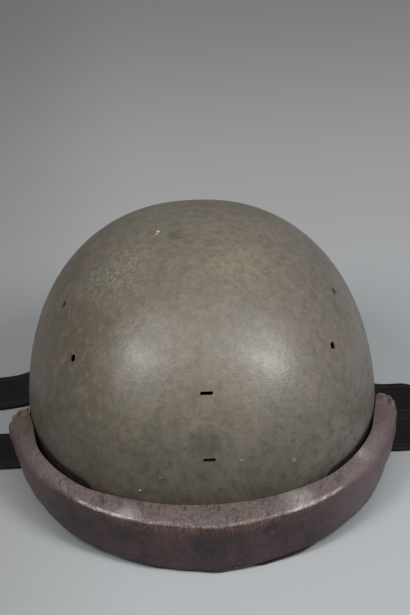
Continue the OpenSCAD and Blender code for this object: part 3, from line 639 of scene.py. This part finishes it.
def makeBowl():
    piece = openDrum(bowl["columns"], bowl["lowerRows"] + bowl["domeRows"])
    placeVertices(piece, lambda point: bowlPoint(angleOf(point), round(point.z)))
    highest = max(vertex.co.z for vertex in piece.data.vertices)
    mergeVertices(piece, lambda vertex: vertex.co.z > highest - 1e-7)
    faceOutwards(piece, weld=True)
    thicken(piece, bowl["wall"])

    def hem(point):
        # The turned hem stands a little proud inside
        angle = angleOf(point)
        rise = point.z - rimHeight(angle)
        outer = planPoint(angle, neckReach(angle, point.z))
        inside = outer.xy.length - point.xy.length > bowl["wall"] * 0.5
        if inside and rise < bowl["hemHeight"] and point.z < bowl["browHeight"]:
            bulge = bowl["hemBulge"] * smooth((bowl["hemHeight"] - rise) / 0.001)
            point.xy *= 1 - bulge / point.xy.length
        point.z = max(point.z, 0.0)
        return point

    placeVertices(piece, hem)
    softenEdges(piece, 0.00035)
    cutters = [roundBar(*bowl["badgeSlotSize"], bowlPlace(0, z)) for z in bowl["badgeSlots"]]
    for angle, z in bowl["vents"]:
        for side in (-1, 1):
            cutters.append(peg(28, bowl["ventDiameter"] / 2, 0.012, bowlPlace(side * angle, z)))
    cutAway(piece, cutters)

    def aboveBumper(point):
        # Height over the bumper's top, far above it where the bumper lies tight; the paint lays a painted shade
        # line where this is small
        angle = angleOf(point)
        loose = ease(abs(angle), 24, 38) * ease(abs(angle), 86, 80)
        return point.z - bumperCrest(angle) + 0.03 * (1 - loose)

    storeValue(piece, "aboveBumper", aboveBumper)
    smoothShade(piece, 35)
    finishPiece(piece, "steelBowl", paint, "helmet", ["shell"])


# Bumper
def bumperPoint(angle, lean, inset):
    # lean runs round the section, 0 towards the front, 90 up, 180 against the bowl
    share = bumperRound(angle)
    deep = bumperReach(angle) - inset
    half = (bumperCrest(angle) - bumperBottom(angle)) / 2 * share - inset * share
    out, up = math.cos(lean), math.sin(lean)
    power = 2 / bumperSquare(angle, up)
    z = bumperMiddle(angle) + half * math.copysign(abs(up) ** power, up)
    tipped = bumper["lean"] * ease(abs(angle), 30, 8) * (z - bumperBottom(angle)) / bumperCrest(angle)
    core = bumper["knobCores"][0 if angle < 0 else 1]
    inner = max(inset * 0.3, deep * (1 - share) * core)
    outer = deep * (core + (1 - core) * share) * (1 - tipped)
    low = 1 - min(1, max(0, (z - bumperBottom(angle)) / 0.024))
    outer += bumper["toe"] * ease(abs(angle), 62, 38) * smooth(low)
    return planPoint(angle, bumper["gap"] + inner + (outer - inner) * max(0, out) ** power, z)


def bumperFrame(point):
    # Angle from the front and distance out from the bowl of a point on the bumper
    angle = angleOf(point)
    return angle, point.xy.length - planPoint(angle).xy.length


def swellBumper(piece):
    # The back and the two front folds are held, and the rest swells under pressure
    rest = [vertex.co.copy() for vertex in piece.data.vertices]
    takeOnly(piece)
    held = []
    for vertex in piece.data.vertices:
        angle, out = bumperFrame(vertex.co)
        half = (bumperCrest(angle) - bumperBottom(angle)) / 2
        high = abs(vertex.co.z - bumperMiddle(angle)) > half - bumper["heldFold"]
        fold = high and out > bumperReach(angle) - bumper["heldFold"] and abs(angle) < 34
        if out < bumper["heldBack"] or fold:
            held.append(vertex.index)
    piece.vertex_groups.new(name="held").add(held, 1.0, "REPLACE")
    cloth = piece.modifiers.new("Cloth", "CLOTH")
    for key, value in bumper["cloth"].items():
        setattr(cloth.settings, key, value)
    cloth.settings.vertex_group_mass = "held"
    cloth.settings.effector_weights.gravity = 0
    cloth.point_cache.frame_start = 1
    cloth.point_cache.frame_end = 20
    for number in range(1, 21):
        bpy.context.scene.frame_set(number)
    bpy.ops.object.modifier_apply(modifier="Cloth")
    bpy.context.scene.frame_set(1)
    for vertex, start in zip(piece.data.vertices, rest):
        move = vertex.co - start
        if move.length > bumper["swell"]:
            vertex.co = start + move.normalized() * bumper["swell"]


def pleatOf(point):
    # Lengthwise pleats at the bumper's ends: how deep here, and whether ridge or fold
    angle, out = bumperFrame(point)
    lean = math.atan2(point.z - bumperMiddle(angle), out - bumperReach(angle) / 2)
    ridge = math.cos(bumper["pleats"] * lean + 1.3 * math.sin(angle)) + 0.35 * math.cos(11 * lean + angle / 40)
    share = abs(angle) / bumper["tip"]
    return smooth((share - 0.82) / 0.13) * blend(0.35, 1, smooth((1 - share) / 0.035)), ridge / 1.35


def settle(point):
    # Pleats at the ends, a seam along the lower edge, and clear of the bowl
    angle, out = bumperFrame(point)
    depth, ridge = pleatOf(point)
    pleat = bumper["pleatDepth"] * depth * ridge
    out += pleat
    point.z += 0.7 * pleat * (1 if point.z > bumperMiddle(angle) else -1)
    sag = math.sin(angle * 0.31) * 0.0003 + math.sin(angle * 0.83 + 1) * 0.00015
    out += sag * smooth(out / 0.008)
    point.z += bumper["rightLift"] * ease(angle, -60, -74) * smooth((point.z - bumperBottom(angle)) / 0.016)
    seam = 0.0024 + 0.0006 * math.sin(angle * 0.2)
    groove = math.exp(-((point.z - bumperBottom(angle) - seam) / 0.0006) ** 2)
    if abs(angle) < 70:
        out -= 0.0005 * groove * smooth(out / 0.008)
    loose = bumper["rightGap"] if angle < 0 else bumper["leftGap"]
    stand = bumper["gap"] + loose * ease(abs(angle), 22, 38) * ease(abs(angle), 71, 57)
    base = planPoint(angle)
    point.xy = base.xy * ((base.xy.length + max(stand, out)) / base.xy.length)
    point.z = max(point.z, 0.0001)
    return point


def pinch(point):
    # The gathered leather is drawn into a small hollow near each tip
    side = math.copysign(1, angleOf(point))
    end = bumper["sweep"]
    hollow = planPoint(side * (bumper["tip"] - 4.6), bumperReach(end) * 0.60, bumperMiddle(end) + 0.0058)
    heart = planPoint(side * (bumper["tip"] - 5), bumperReach(end) * 0.45, bumperMiddle(end))
    away = (point - hollow).length
    return point + (heart - hollow).normalized() * bumper["endPinch"] * math.exp(-(away / 0.0016) ** 2)


def edgeWear(point):
    angle, out = bumperFrame(point)
    corner = bumperReach(angle) - 0.0010 - 0.0022 * ease(abs(angle), 30, 8)
    crest = bumperCrest(angle) - 0.0008
    away = math.hypot(out - corner, (point.z - crest) * (0.6 if point.z < crest else 1))
    return math.exp(-(away / 0.0015) ** 2) * ease(abs(angle), 46, 30)


def gathersOf(point):
    depth, ridge = pleatOf(point)
    return 0.5 + 0.5 * depth * ridge


# Where the painted glints lie along the front fold
def paintedGlintOf(point):
    angle = abs(angleOf(point))
    return edgeWear(point) * ease(angle, 14, 22) * ease(angle, 44, 34)


def makeBumper():
    around, stations = bumper["sectionPoints"], bumper["stations"]
    piece = openDrum(around, stations)
    inset = bumper["startInset"]

    def place(point):
        angle = bumper["tip"] * math.sin(math.radians(180 * point.z / stations - 90))
        return bumperPoint(angle, math.atan2(point.y, point.x), inset)

    placeVertices(piece, place)
    for first in (stations * around, 0):
        mergeVertices(piece, lambda vertex: first <= vertex.index < first + around)
    faceOutwards(piece, weld=True)
    swellBumper(piece)
    applyModifier(piece, "SUBSURF", levels=1, render_levels=1)
    placeVertices(piece, settle)
    placeVertices(piece, pinch)
    for name, valueAt in (
            ("edgeWear", edgeWear), ("gathers", gathersOf), ("paintedGlint", paintedGlintOf),
            ("nearTip", lambda point: ease(abs(angleOf(point)), 46, 82)),
            ("belowEdge", lambda point: bumperCrest(angleOf(point)) - point.z)):
        storeValue(piece, name, valueAt)
    smoothShade(piece, 75)
    finishPiece(piece, "bumperPad", hide, "helmet",
                ["bumper_cover", "bumper_core", "bumper_backing"])


def makeWelt():
    # The sewn edge under the front fold, which hangs lower on the left side
    piece = flatStrip(180, 5)
    first, last = bumper["weltFrom"], bumper["weltTo"]
    edges = []

    def place(point):
        angle = blend(first, last, point.x + 0.5)
        across = point.y + 0.5
        edges.append(across)
        loose = ease(angle, 8, 17) * ease(angle, last, last - 9)
        shown = ease(angle, first, first + 8) * ease(angle, last, last - 8)
        out = bumperReach(angle) - 0.0070 + across * (0.0048 + 0.0034 * shown) + 0.0002 * math.sin(angle * 0.7)
        drop = -0.0006 + across ** 1.5 * (0.0008 * shown + 0.0005 * loose)
        return planPoint(angle, out, max(0.0006, bumperBottom(angle) - drop))

    placeVertices(piece, place)
    storeValues(piece, "edgeShare", edges)
    thicken(piece, 0.0010, offset=0, even=False)
    faceOutwards(piece)
    softenEdges(piece, 0.00025)
    placeVertices(piece, lambda point: Vector((point.x, point.y, max(0.0001, point.z))))
    smoothShade(piece, 45)
    finishPiece(piece, "bumperWelt", weltLeather, "helmet")


# Straps. The leg's stations count from the bar: loop clear, full width, at rest, narrowing
strap = {
    "barX": 0.086, "barZ": 0.017, "anchorY": (-0.032, 0.048), "thick": 0.0024, "wire": 0.0028,
    "legWidth": 0.037, "loopWidth": 0.014, "width": 0.029, "lap": 0.020, "bend": 0.014,
    "legEndHalf": 0.00685, "legEndY": 0.00715, "rest": 0.0002, "stations": (0.007, 0.027, 0.036, 0.045),
    "stitch": (0.0032, 0.0008, 0.0006), "stitchInset": 0.0032, "stitchPitch": 0.0046, "stitchLength": 0.062,
}
rightStrap = {
    "junctionX": 0.182, "length": 0.126, "y": 0.012, "legMiddles": (-0.013, 0.054), "rearPull": 0.0035,
    "holes": 5, "holeSpacing": 0.012, "holeDiameter": 0.0034, "tip": 0.022,
}
leftStrap = {
    "junctionX": 0.168, "length": 0.080, "y": 0.004, "legMiddles": (-0.0146, 0.0232), "rearPull": 0,
    "tail": 0.018, "keeperSheet": 0.0012, "keeperWidth": 0.010, "keeperHeight": 0.0092, "prongSlot": 0.005,
}
rivet = {"radius": 0.003, "dome": 0.0011, "rim": 0.0004, "stem": 0.0013}
sides = ((rightStrap, -1, "right"), (leftStrap, 1, "left"))
touch = 0.0001  # room between two layers of leather
legLevel = strap["rest"] + strap["thick"] / 2
lapLevel = legLevel + strap["thick"] + touch
loopRadius = strap["wire"] / 2 + 0.0003 + strap["thick"] / 2


def curve(first, second, third, last, steps):
    points = []
    for i in range(steps + 1):
        t = i / steps
        u = 1 - t
        points.append(first * u ** 3 + second * 3 * u * u * t + third * 3 * u * t * t + last * t ** 3)
    return points


def arc(centre, radius, first, last, steps):
    turns = (math.radians(blend(first, last, i / steps)) for i in range(steps + 1))
    return [centre + radius * Vector((math.cos(turn), math.sin(turn))) for turn in turns]


class Route:
    # A line in X and Z, read by the distance along it
    def __init__(self, points):
        self.points = [points[0]]
        for point in points[1:]:
            if (point - self.points[-1]).length > 1e-6:
                self.points.append(point)
        self.lengths = [0.0]
        for first, second in zip(self.points, self.points[1:]):
            self.lengths.append(self.lengths[-1] + (second - first).length)
        self.length = self.lengths[-1]

    def at(self, distance):
        distance = min(self.length, max(0, distance))
        for i in range(1, len(self.points)):
            if distance <= self.lengths[i]:
                share = (distance - self.lengths[i - 1]) / (self.lengths[i] - self.lengths[i - 1])
                return self.points[i - 1].lerp(self.points[i], share)
        return self.points[-1]

    def heading(self, distance):
        return (self.at(distance + 0.0004) - self.at(distance - 0.0004)).normalized()


def layStrap(route, middleAt, halfAt, along, across, side):
    # A leather ribbon along a route; side is 1 on the wearer's left, -1 on the right
    piece = flatStrip(along, across)
    edges = []

    def place(point):
        distance = (point.x + 0.5) * route.length
        spot = route.at(distance)
        share = point.y * 2
        edges.append(abs(share))
        return Vector((side * spot.x, middleAt(spot.x) + share * halfAt(spot.x, distance), spot.y))

    placeVertices(piece, place)
    storeValues(piece, "edgeShare", edges)
    thicken(piece, strap["thick"], offset=0)
    faceOutwards(piece)
    softenEdges(piece, 0.0005)
    smoothShade(piece, 45)
    return piece


def sewPiece(name, places, size, material, body):
    # One piece of equal stitches
    blank = added(bpy.ops.mesh.primitive_uv_sphere_add, segments=8, ring_count=5, radius=0.5)
    blank.data.transform(Matrix.Diagonal((*size, 1)))
    piece = joinPieces(copiesAt(blank, places))
    smoothShade(piece, 60)
    finishPiece(piece, name, material, body)


def strapStitches(name, route, middleAt, halfAt, start, stop, side, body):
    places = []

    def rowPoint(edge, distance):
        spot = route.at(distance)
        y = middleAt(spot.x) + edge * (halfAt(spot.x, distance) - strap["stitchInset"])
        return Vector((side * spot.x, y, spot.y))

    for edge in (-1, 1):
        distance = start
        while distance < stop:
            ahead = route.heading(distance)
            forward = (rowPoint(edge, distance + 0.0005) - rowPoint(edge, distance - 0.0005)).normalized()
            up = Vector((-side * ahead.y, 0, ahead.x)).normalized()
            if up.z < 0:
                up = -up
            across = up.cross(forward).normalized()
            point = rowPoint(edge, distance) + up * (strap["thick"] / 2 + 0.00005)
            places.append(placed(point, forward, across, forward.cross(across)))
            distance += strap["stitchPitch"]
    sewPiece(name, places, strap["stitch"], thread, body)


def makeLeg(settings, side, sideName, rear):
    half = 1 if rear else -1
    place = "Rear" if rear else "Front"
    name, body = sideName + place + "Leg", sideName + "_strap"
    junctionX = settings["junctionX"]
    endX = junctionX + strap["lap"]
    endY = settings["y"] + half * strap["legEndY"]
    clearX, fullX, restX, narrowX = (strap["barX"] + reach for reach in strap["stations"])
    loop = arc(Vector((strap["barX"], strap["barZ"])), loopRadius, -16, 274, 36)
    slope = curve(loop[-1], loop[-1] + Vector((0.0108, -0.0006)), Vector((restX - 0.015, legLevel)),
                  Vector((restX, legLevel)), 30)
    flat = [Vector((blend(restX, endX, i / 40), legLevel)) for i in range(1, 41)]
    route = Route(loop + slope + flat)

    def middleAt(x):
        pulled = settings["rearPull"] * ease(x, clearX, clearX + 0.008) * smooth((narrowX + 0.004 - x) / 0.026)
        spread = blend(strap["anchorY"][rear], settings["legMiddles"][rear], ease(x, clearX, fullX))
        return blend(spread, endY, ease(x, narrowX, junctionX)) + (pulled if rear else 0)

    def halfAt(x, distance):
        wide = blend(strap["loopWidth"], strap["legWidth"], ease(x, clearX, fullX)) / 2
        return blend(wide, strap["legEndHalf"], ease(x, narrowX, junctionX))

    piece = layStrap(route, middleAt, halfAt, 170, 14, side)
    finishPiece(piece, name, strapLeather, body, [f"{sideName}_{place.lower()}_leg"])
    sewnFrom = route.length - (endX - strap["barX"]) + 0.012
    strapStitches(name + "Stitches", route, middleAt, halfAt, sewnFrom, sewnFrom + 0.012, side, body)


def stepDown(x, high, low):
    # The strap's start on the lap, and its bend down behind it
    bendX, length = x + strap["lap"] + 0.001, strap["bend"]
    return [Vector((x, high))] + curve(
        Vector((bendX, high)), Vector((bendX + length * 0.45, high)), Vector((bendX + length * 0.55, low)),
        Vector((bendX + length, low)), 12)


def makeRightStrap():
    start, y = rightStrap["junctionX"], rightStrap["y"]
    tip = start + rightStrap["length"]
    tipStart = tip - rightStrap["tip"]
    route = Route(stepDown(start, lapLevel, legLevel) + [Vector((tip, legLevel))])

    def halfAt(x, distance):
        taper = min(1, max(0, (x - tipStart) / rightStrap["tip"]))
        lead = min(1, (x - start) / 0.003)
        return (strap["width"] / 2 - 0.004 * (1 - lead)) * max(0.08, (1 - taper ** 2.2) ** 0.85)

    piece = layStrap(route, lambda x: y, halfAt, 140, 12, -1)
    cutAway(piece, [peg(24, rightStrap["holeDiameter"] / 2, 0.03,
                        Matrix.Translation((-(tipStart - i * rightStrap["holeSpacing"]), y, 0.001)))
                    for i in range(rightStrap["holes"])])
    smoothShade(piece, 40)
    finishPiece(piece, "rightStrapEnd", strapLeather, "right_strap", ["right_main_strap"])
    strapStitches("rightStrapStitches", route, lambda x: y, halfAt, 0.004, route.length - 0.012, -1,
                  "right_strap")


def makeLeftStrap():
    start, y = leftStrap["junctionX"], leftStrap["y"]
    buckleX = start + leftStrap["length"]
    barZ = strap["rest"] + loopRadius + strap["thick"] / 2
    level = 2 * strap["rest"] + leftStrap["keeperSheet"] + strap["thick"] / 2
    tailLevel = level + strap["thick"] + touch
    under = Vector((buckleX, barZ - loopRadius))
    over = Vector((buckleX, barZ + loopRadius))
    flatX, turnX, back = buckleX - 0.009, buckleX - 0.005, Vector((0.004, 0))
    route = Route(
        stepDown(start, lapLevel, level)
        + curve(Vector((flatX, level)), Vector((turnX, level)), under - back, under, 8)
        + arc(Vector((buckleX, barZ)), loopRadius, -90, 90, 20)
        + curve(over, over - back, Vector((turnX, tailLevel)), Vector((flatX, tailLevel)), 8)
        + [Vector((buckleX - leftStrap["tail"], tailLevel))])

    def halfAt(x, distance):
        return strap["width"] / 2 - 0.004 * (1 - min(1, distance / 0.003))

    piece = layStrap(route, lambda x: y, halfAt, 130, 12, 1)
    window = added(bpy.ops.mesh.primitive_cube_add, size=1, scale=(0.018, leftStrap["prongSlot"], 0.04),
                   location=(buckleX, y, barZ))
    cutAway(piece, [bakePlace(window, window.matrix_world.copy())])
    smoothShade(piece, 40)
    finishPiece(piece, "leftStrapEnd", strapLeather, "left_strap", ["left_main_strap"])
    strapStitches("leftStrapStitches", route, lambda x: y, halfAt, 0.004, strap["stitchLength"], 1, "left_strap")


def rivetBlank():
    # A turned head: flat rim, then a low dome
    radius = rivet["radius"]
    blank = added(bpy.ops.mesh.primitive_circle_add, vertices=24, radius=radius, fill_type="NGON")
    editAll(blank)
    bpy.ops.mesh.extrude_region_move(TRANSFORM_OT_translate={"value": (0, 0, rivet["rim"])})
    for share, rise in ((0.93, 0.18), (0.8, 0.3), (0.6, 0.26), (0.35, 0.18), (0.12, 0.06)):
        bpy.ops.mesh.inset(thickness=radius * 0.001)
        bpy.ops.mesh.extrude_region_move(TRANSFORM_OT_translate={"value": (0, 0, rivet["dome"] * rise)})
        blank.update_from_editmode()
        now = max(vertex.co.xy.length for vertex in blank.data.vertices if vertex.select)
        bpy.ops.transform.resize(value=(radius * share / now, radius * share / now, 1))
    leaveEdit()
    faceOutwards(blank, weld=True)
    return blank


def setRivets(name, node, places, body, length):
    parts = copiesAt(rivetBlank(), places)
    for place in places:
        stem = peg(16, rivet["stem"], length, place @ Matrix.Translation((0, 0, -length / 2 + 0.0002)))
        editAll(stem)
        bpy.ops.mesh.bevel(offset=0.0002, segments=1)
        leaveEdit()
        parts.append(stem)
    piece = joinPieces(parts)
    smoothShade(piece, 45)
    finishPiece(piece, name, steel, body, [node])


def makeStrapRivets():
    for settings, side, sideName in sides:
        places = []
        for x in (settings["junctionX"] + 0.005, settings["junctionX"] + strap["lap"] - 0.005):
            for half in (-1, 1):
                y = settings["y"] + half * strap["legEndY"]
                places.append(Matrix.Translation((side * x, y, lapLevel + strap["thick"] / 2)))
        if side == 1:
            x = leftStrap["junctionX"] + leftStrap["length"] - leftStrap["tail"] + 0.005
            tailTop = 2 * strap["rest"] + leftStrap["keeperSheet"] + 2 * strap["thick"] + touch
            for half in (-1, 1):
                places.append(Matrix.Translation((x, settings["y"] + half * strap["width"] / 4, tailTop)))
        setRivets(sideName + "StrapRivets", sideName + "_strap_rivets", places, sideName + "_strap", 0.0046)


def makeKeeper():
    width = leftStrap["keeperWidth"]
    x = leftStrap["junctionX"] + leftStrap["length"] - leftStrap["tail"] - 0.001 - width / 2
    halfY = strap["width"] / 2 + 0.0003 + leftStrap["keeperSheet"]
    halfZ = leftStrap["keeperHeight"] / 2
    rows, power = 6, 7
    piece = openDrum(64, rows)

    def place(point):
        turn = math.atan2(point.y, point.x)
        out, up = math.cos(turn), math.sin(turn)
        ring = (abs(out) ** power + abs(up) ** power) ** (-1 / power)
        across = x + (point.z / rows - 0.5) * width
        return Vector((across, leftStrap["y"] + out * ring * halfY, strap["rest"] + halfZ + up * ring * halfZ))

    placeVertices(piece, place)
    faceOutwards(piece)
    thicken(piece, leftStrap["keeperSheet"])
    softenEdges(piece, 0.0003)
    storeValue(piece, "edgeShare", lambda point: abs(point.x - x) / (width / 2))
    smoothShade(piece, 50)
    finishPiece(piece, "leftStrapKeeper", strapLeather, "strap_keeper", ["strap_keeper"])


# Liner. Outer and inner faces count from the bowl's widest outline
liner = {
    "bottom": 0.026, "top": 0.058, "feltOuter": -0.0072, "feltInner": -0.0097, "bandOuter": -0.0100,
    "bandInner": -0.0118, "bandDrop": 0.0015, "bandRows": 16, "bandStitches": 150,
    "stitch": (0.0034, 0.0008, 0.0007), "crownOuter": -0.0121, "crownLeather": 0.0015, "crownTop": 0.1238,
    "tongues": 7, "valley": 26, "tip": 76, "roundness": 0.6, "slit": 0.4, "overlap": 0.006, "lapShare": 0.08,
    "billow": 0.0010, "lace": 0.0024,
}


def plainBand(name, outer, inner, low, material, node):
    rows, high = liner["bandRows"], liner["top"]
    piece = openDrum(144, rows)
    placeVertices(piece, lambda point: planPoint(angleOf(point), outer, blend(low, high, point.z / rows)))
    faceOutwards(piece)
    thicken(piece, outer - inner)
    softenEdges(piece, (outer - inner) * 0.3)
    storeValue(piece, "edgeShare", lambda point: abs(point.z - (low + high) / 2) / ((high - low) / 2))
    smoothShade(piece, 50)
    finishPiece(piece, name, material, "helmet", [node])


def bandStitches():
    places = []
    inner = liner["bandInner"]
    for i in range(liner["bandStitches"]):
        angle = i * 360 / liner["bandStitches"]
        for z in (liner["bottom"] + 0.002, liner["top"] - 0.003):
            ahead = (planPoint(angle + 0.5, inner) - planPoint(angle - 0.5, inner)).normalized()
            inward = Vector((0, 0, 1)).cross(ahead)
            places.append(placed(planPoint(angle, inner - 0.0001, z), ahead, inward.cross(ahead), inward))
    sewPiece("sweatBandStitches", places, liner["stitch"], laceCord, "helmet")


def tongueReach(angle):
    wave = (1 + math.cos(math.radians(liner["tongues"] * angle))) / 2
    return blend(liner["valley"], liner["tip"], wave ** liner["roundness"])


def crownPoint(angle, climb, inward):
    power = 2 / bowl["crownPower"]
    climb = math.radians(climb)
    point = planPoint(angle, liner["crownOuter"] - inward) * max(0, math.cos(climb)) ** power
    rise = liner["crownTop"] - inward - liner["top"]
    point.z = liner["top"] + rise * max(0, math.sin(climb)) ** power
    return point


def makeCrown():
    # Each tongue runs from the band up to its own rounded tip
    reach = 180 / liner["tongues"] - liner["slit"]
    lapShare = liner["lapShare"]
    tongues = []
    for number in range(liner["tongues"]):
        middle = number * 360 / liner["tongues"]
        piece = flatStrip(24, 36)
        edges = []

        def place(point):
            across, share = point.x * 2, point.y + 0.5
            angle = middle + across * reach
            edges.append(max(abs(across), share))
            if share < lapShare:
                lapped = liner["overlap"] * (1 - share / lapShare)
                return planPoint(angle, liner["crownOuter"], liner["top"] - lapped)
            climb = (share - lapShare) / (1 - lapShare)
            billow = liner["billow"] * math.sin(math.pi * climb) * (1 - across ** 2)
            return crownPoint(angle, tongueReach(angle) * climb, liner["billow"] - billow)

        placeVertices(piece, place)
        storeValues(piece, "edgeShare", edges)
        faceOutwards(piece)
        tongues.append(piece)
    whole = joinPieces(tongues)
    face = whole.data.polygons[0]
    if face.normal.dot(face.center - Vector((0, 0, 0.05))) < 0:
        editAll(whole)
        bpy.ops.mesh.flip_normals()
        leaveEdit()
    thicken(whole, liner["crownLeather"])
    softenEdges(whole, 0.0004)
    smoothShade(whole, 50)
    finishPiece(whole, "crownTongues", linerLeather, "helmet", ["crown_leather"])


def makeCord():
    radius = liner["lace"] / 2
    piece = added(bpy.ops.mesh.primitive_torus_add, major_segments=126, minor_segments=10, major_radius=1,
                  minor_radius=0.25)

    def core(angle):
        return crownPoint(angle, liner["tip"] - 2, liner["crownLeather"] + 0.0003 + radius + 0.0012)

    def place(point):
        angle = angleOf(point)
        lean = math.atan2(point.z, math.hypot(point.x, point.y) - 1)
        outward = Vector((math.sin(math.radians(angle)), -math.cos(math.radians(angle)), 0))
        twist = 1 + 0.08 * math.sin(3 * lean + math.radians(angle * 40))
        middle = core(angle) + Vector((0, 0, 0.0004 * math.sin(math.radians(angle * liner["tongues"]))))
        return middle + radius * twist * (outward * math.cos(lean) + Vector((0, 0, math.sin(lean))))

    placeVertices(piece, place)
    knot = core(180)
    parts = [piece]
    for side in (-1, 1):
        line = Vector((side * 0.009, 0.007, -0.012))
        tail = peg(10, radius, 1, Matrix.Identity(4))
        editAll(tail)
        bpy.ops.mesh.subdivide(number_cuts=8)
        leaveEdit()

        def lay(point):
            share = point.z + 0.5
            bow = Vector((side * 0.0016, 0.0006, 0)) * math.sin(math.pi * share)
            return knot + line * share + bow + Vector((point.x, point.y, 0))

        placeVertices(tail, lay)
        parts.append(tail)
    lump = added(bpy.ops.mesh.primitive_uv_sphere_add, segments=16, ring_count=10, radius=liner["lace"] * 1.1)
    bakePlace(lump, Matrix.Translation(knot) @ Matrix.Diagonal((1.1, 0.9, 0.8, 1)))

    def dent(point):
        return point + (point - knot).normalized() * 0.0003 * math.sin(point.x * 5200 + point.z * 3900)

    placeVertices(lump, dent)
    whole = joinPieces(parts + [lump])
    faceOutwards(whole)
    smoothShade(whole, 60)
    finishPiece(whole, "crownCord", laceCord, "helmet", ["crown_lace"])


def makeLinerRivets():
    places = []
    for angle in (0, 90, 180, 270):
        point = planPoint(angle, liner["bandInner"], liner["bottom"] + 0.020)
        inward = -Vector((point.x, point.y, 0)).normalized()
        level = Vector((0, 0, 1)).cross(inward)
        places.append(placed(point, level, inward.cross(level), inward))
    setRivets("linerRivets", "liner_rivets", places, "helmet", 0.0052)


print("bowl")
makeBowl()
print("bumper")
makeBumper()
makeWelt()
print("straps")
for settings, side, sideName in sides:
    for rear in (0, 1):
        makeLeg(settings, side, sideName, rear)
makeRightStrap()
makeLeftStrap()
makeStrapRivets()
makeKeeper()
print("liner")
plainBand("feltRing", liner["feltOuter"], liner["feltInner"], liner["bottom"], felt, "felt_band")
plainBand("sweatBand", liner["bandOuter"], liner["bandInner"], liner["bottom"] - liner["bandDrop"],
          linerLeather, "sweatband")
bandStitches()
makeCrown()
makeCord()
makeLinerRivets()

print("carried pieces")
carried = {"bumper_lip": hide, "bumper_clips": steel, "buckle_frame": steel, "buckle_prong": steel}
for place in ("front", "rear", "right", "left"):
    carried["bracket_" + place] = steel
for place in ("front_right", "rear_right", "front_left", "rear_left"):
    carried["anchor_" + place] = steel
    carried["spacer_" + place] = aluminium
for node, material in carried.items():
    for index in range(len(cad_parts[node].data.materials)):
        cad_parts[node].data.materials[index] = material


# Studio. A lamp has its azimuth, elevation, power, size and distance; a floor shade its Y and colour
studio = {
    "target": (0, 0, 0.030), "elevation": 33, "yaw": 1.6, "roll": -1.95, "distance": 1.223,
    "focalPixels": 1940, "frame": (410, 615), "targetPixel": (201.5, 392.3),
    "worldStrength": 0.15, "worldSeen": 0.5, "glossShare": 0.25,
    "lamps": {"leftBox": (-50, 47, 7.8, 0.50, 1.35), "rightBox": (50, 42, 9.8, 0.50, 1.35),
              "topBox": (30, 72, 6.0, 1.3, 1.5)},
    "floorShades": ((0.15, (170, 174, 176)), (0.36, (175, 174, 174)), (0.74, (162, 159, 159))),
}


def setCamera():
    rise, yaw, roll = (math.radians(studio[key]) for key in ("elevation", "yaw", "roll"))
    away = Vector((-math.sin(yaw) * math.cos(rise), -math.cos(yaw) * math.cos(rise), math.sin(rise)))
    level = Vector((0, 0, 1)).cross(away).normalized()
    right = level * math.cos(roll) + away.cross(level) * math.sin(roll)
    wide, tall = studio["frame"]
    data = bpy.data.cameras.new("camera")
    data.lens = studio["focalPixels"] * data.sensor_width / tall
    data.shift_x = (wide / 2 - studio["targetPixel"][0]) / tall
    data.shift_y = (studio["targetPixel"][1] - tall / 2) / tall
    data.clip_start = 0.01
    camera = bpy.data.objects.new("camera", data)
    camera.matrix_world = placed(Vector(studio["target"]) + away * studio["distance"],
                                 right, away.cross(right), away)
    bpy.context.scene.collection.objects.link(camera)
    bpy.context.scene.camera = camera


def softLamp(name, azimuth, elevation, power, size, distance):
    turn, rise = math.radians(azimuth), math.radians(elevation)
    aim = Vector((math.sin(turn) * math.cos(rise), -math.cos(turn) * math.cos(rise), math.sin(rise)))
    data = bpy.data.lights.new(name, "AREA")
    data.shape = "SQUARE"
    data.size = size
    data.energy = power
    lamp = bpy.data.objects.new(name, data)
    stand = Matrix.Translation(Vector((0, 0, 0.05)) + aim * distance)
    lamp.matrix_world = stand @ aim.to_track_quat("Z", "Y").to_matrix().to_4x4()
    bpy.context.scene.collection.objects.link(lamp)


def softWorld():
    # Dim as a light, pale where gloss or the camera looks at it
    world = bpy.data.worlds.new("studioWorld")
    world.use_nodes = True
    tree = world.node_tree
    rays = addNode(tree, "LightPath").outputs
    gloss = addNode(tree, "Math", {0: rays["Is Glossy Ray"], 1: studio["glossShare"]}, operation="MULTIPLY")
    seen = addNode(tree, "Math", {0: rays["Is Camera Ray"], 1: gloss.outputs[0]}, operation="MAXIMUM")
    strength = addNode(tree, "MapRange", {"Value": seen.outputs[0], "To Min": studio["worldStrength"],
                                          "To Max": studio["worldSeen"]})
    background = tree.nodes["Background"]
    background.inputs["Color"].default_value = (1, 1, 1, 1)
    tree.links.new(strength.outputs["Result"], background.inputs["Strength"])
    bpy.context.scene.world = world


def sweptFloor():
    skin = Surface("paleFloor", roughness=0.8)
    far = skin.axis("Y")
    (near, first), (middle, second), (last, third) = studio["floorShades"]
    skin.base(skin.ramp(far, near, middle), first, second)
    skin.tint(skin.ramp(far, middle, last), third)
    # A painted shadow: the floor grows darker towards -X
    skin.tint(skin.ramp(skin.axis("X"), -0.02, -0.17, 0, 0.55), (136, 134, 131))
    floor = added(bpy.ops.mesh.primitive_plane_add, size=12)
    floor.name = "floor"
    floor.data.materials.append(skin.finish())


print("studio")
softWorld()
sweptFloor()
for name, setting in studio["lamps"].items():
    softLamp(name, *setting)
setCamera()
bpy.context.scene.view_settings.view_transform = "Standard"
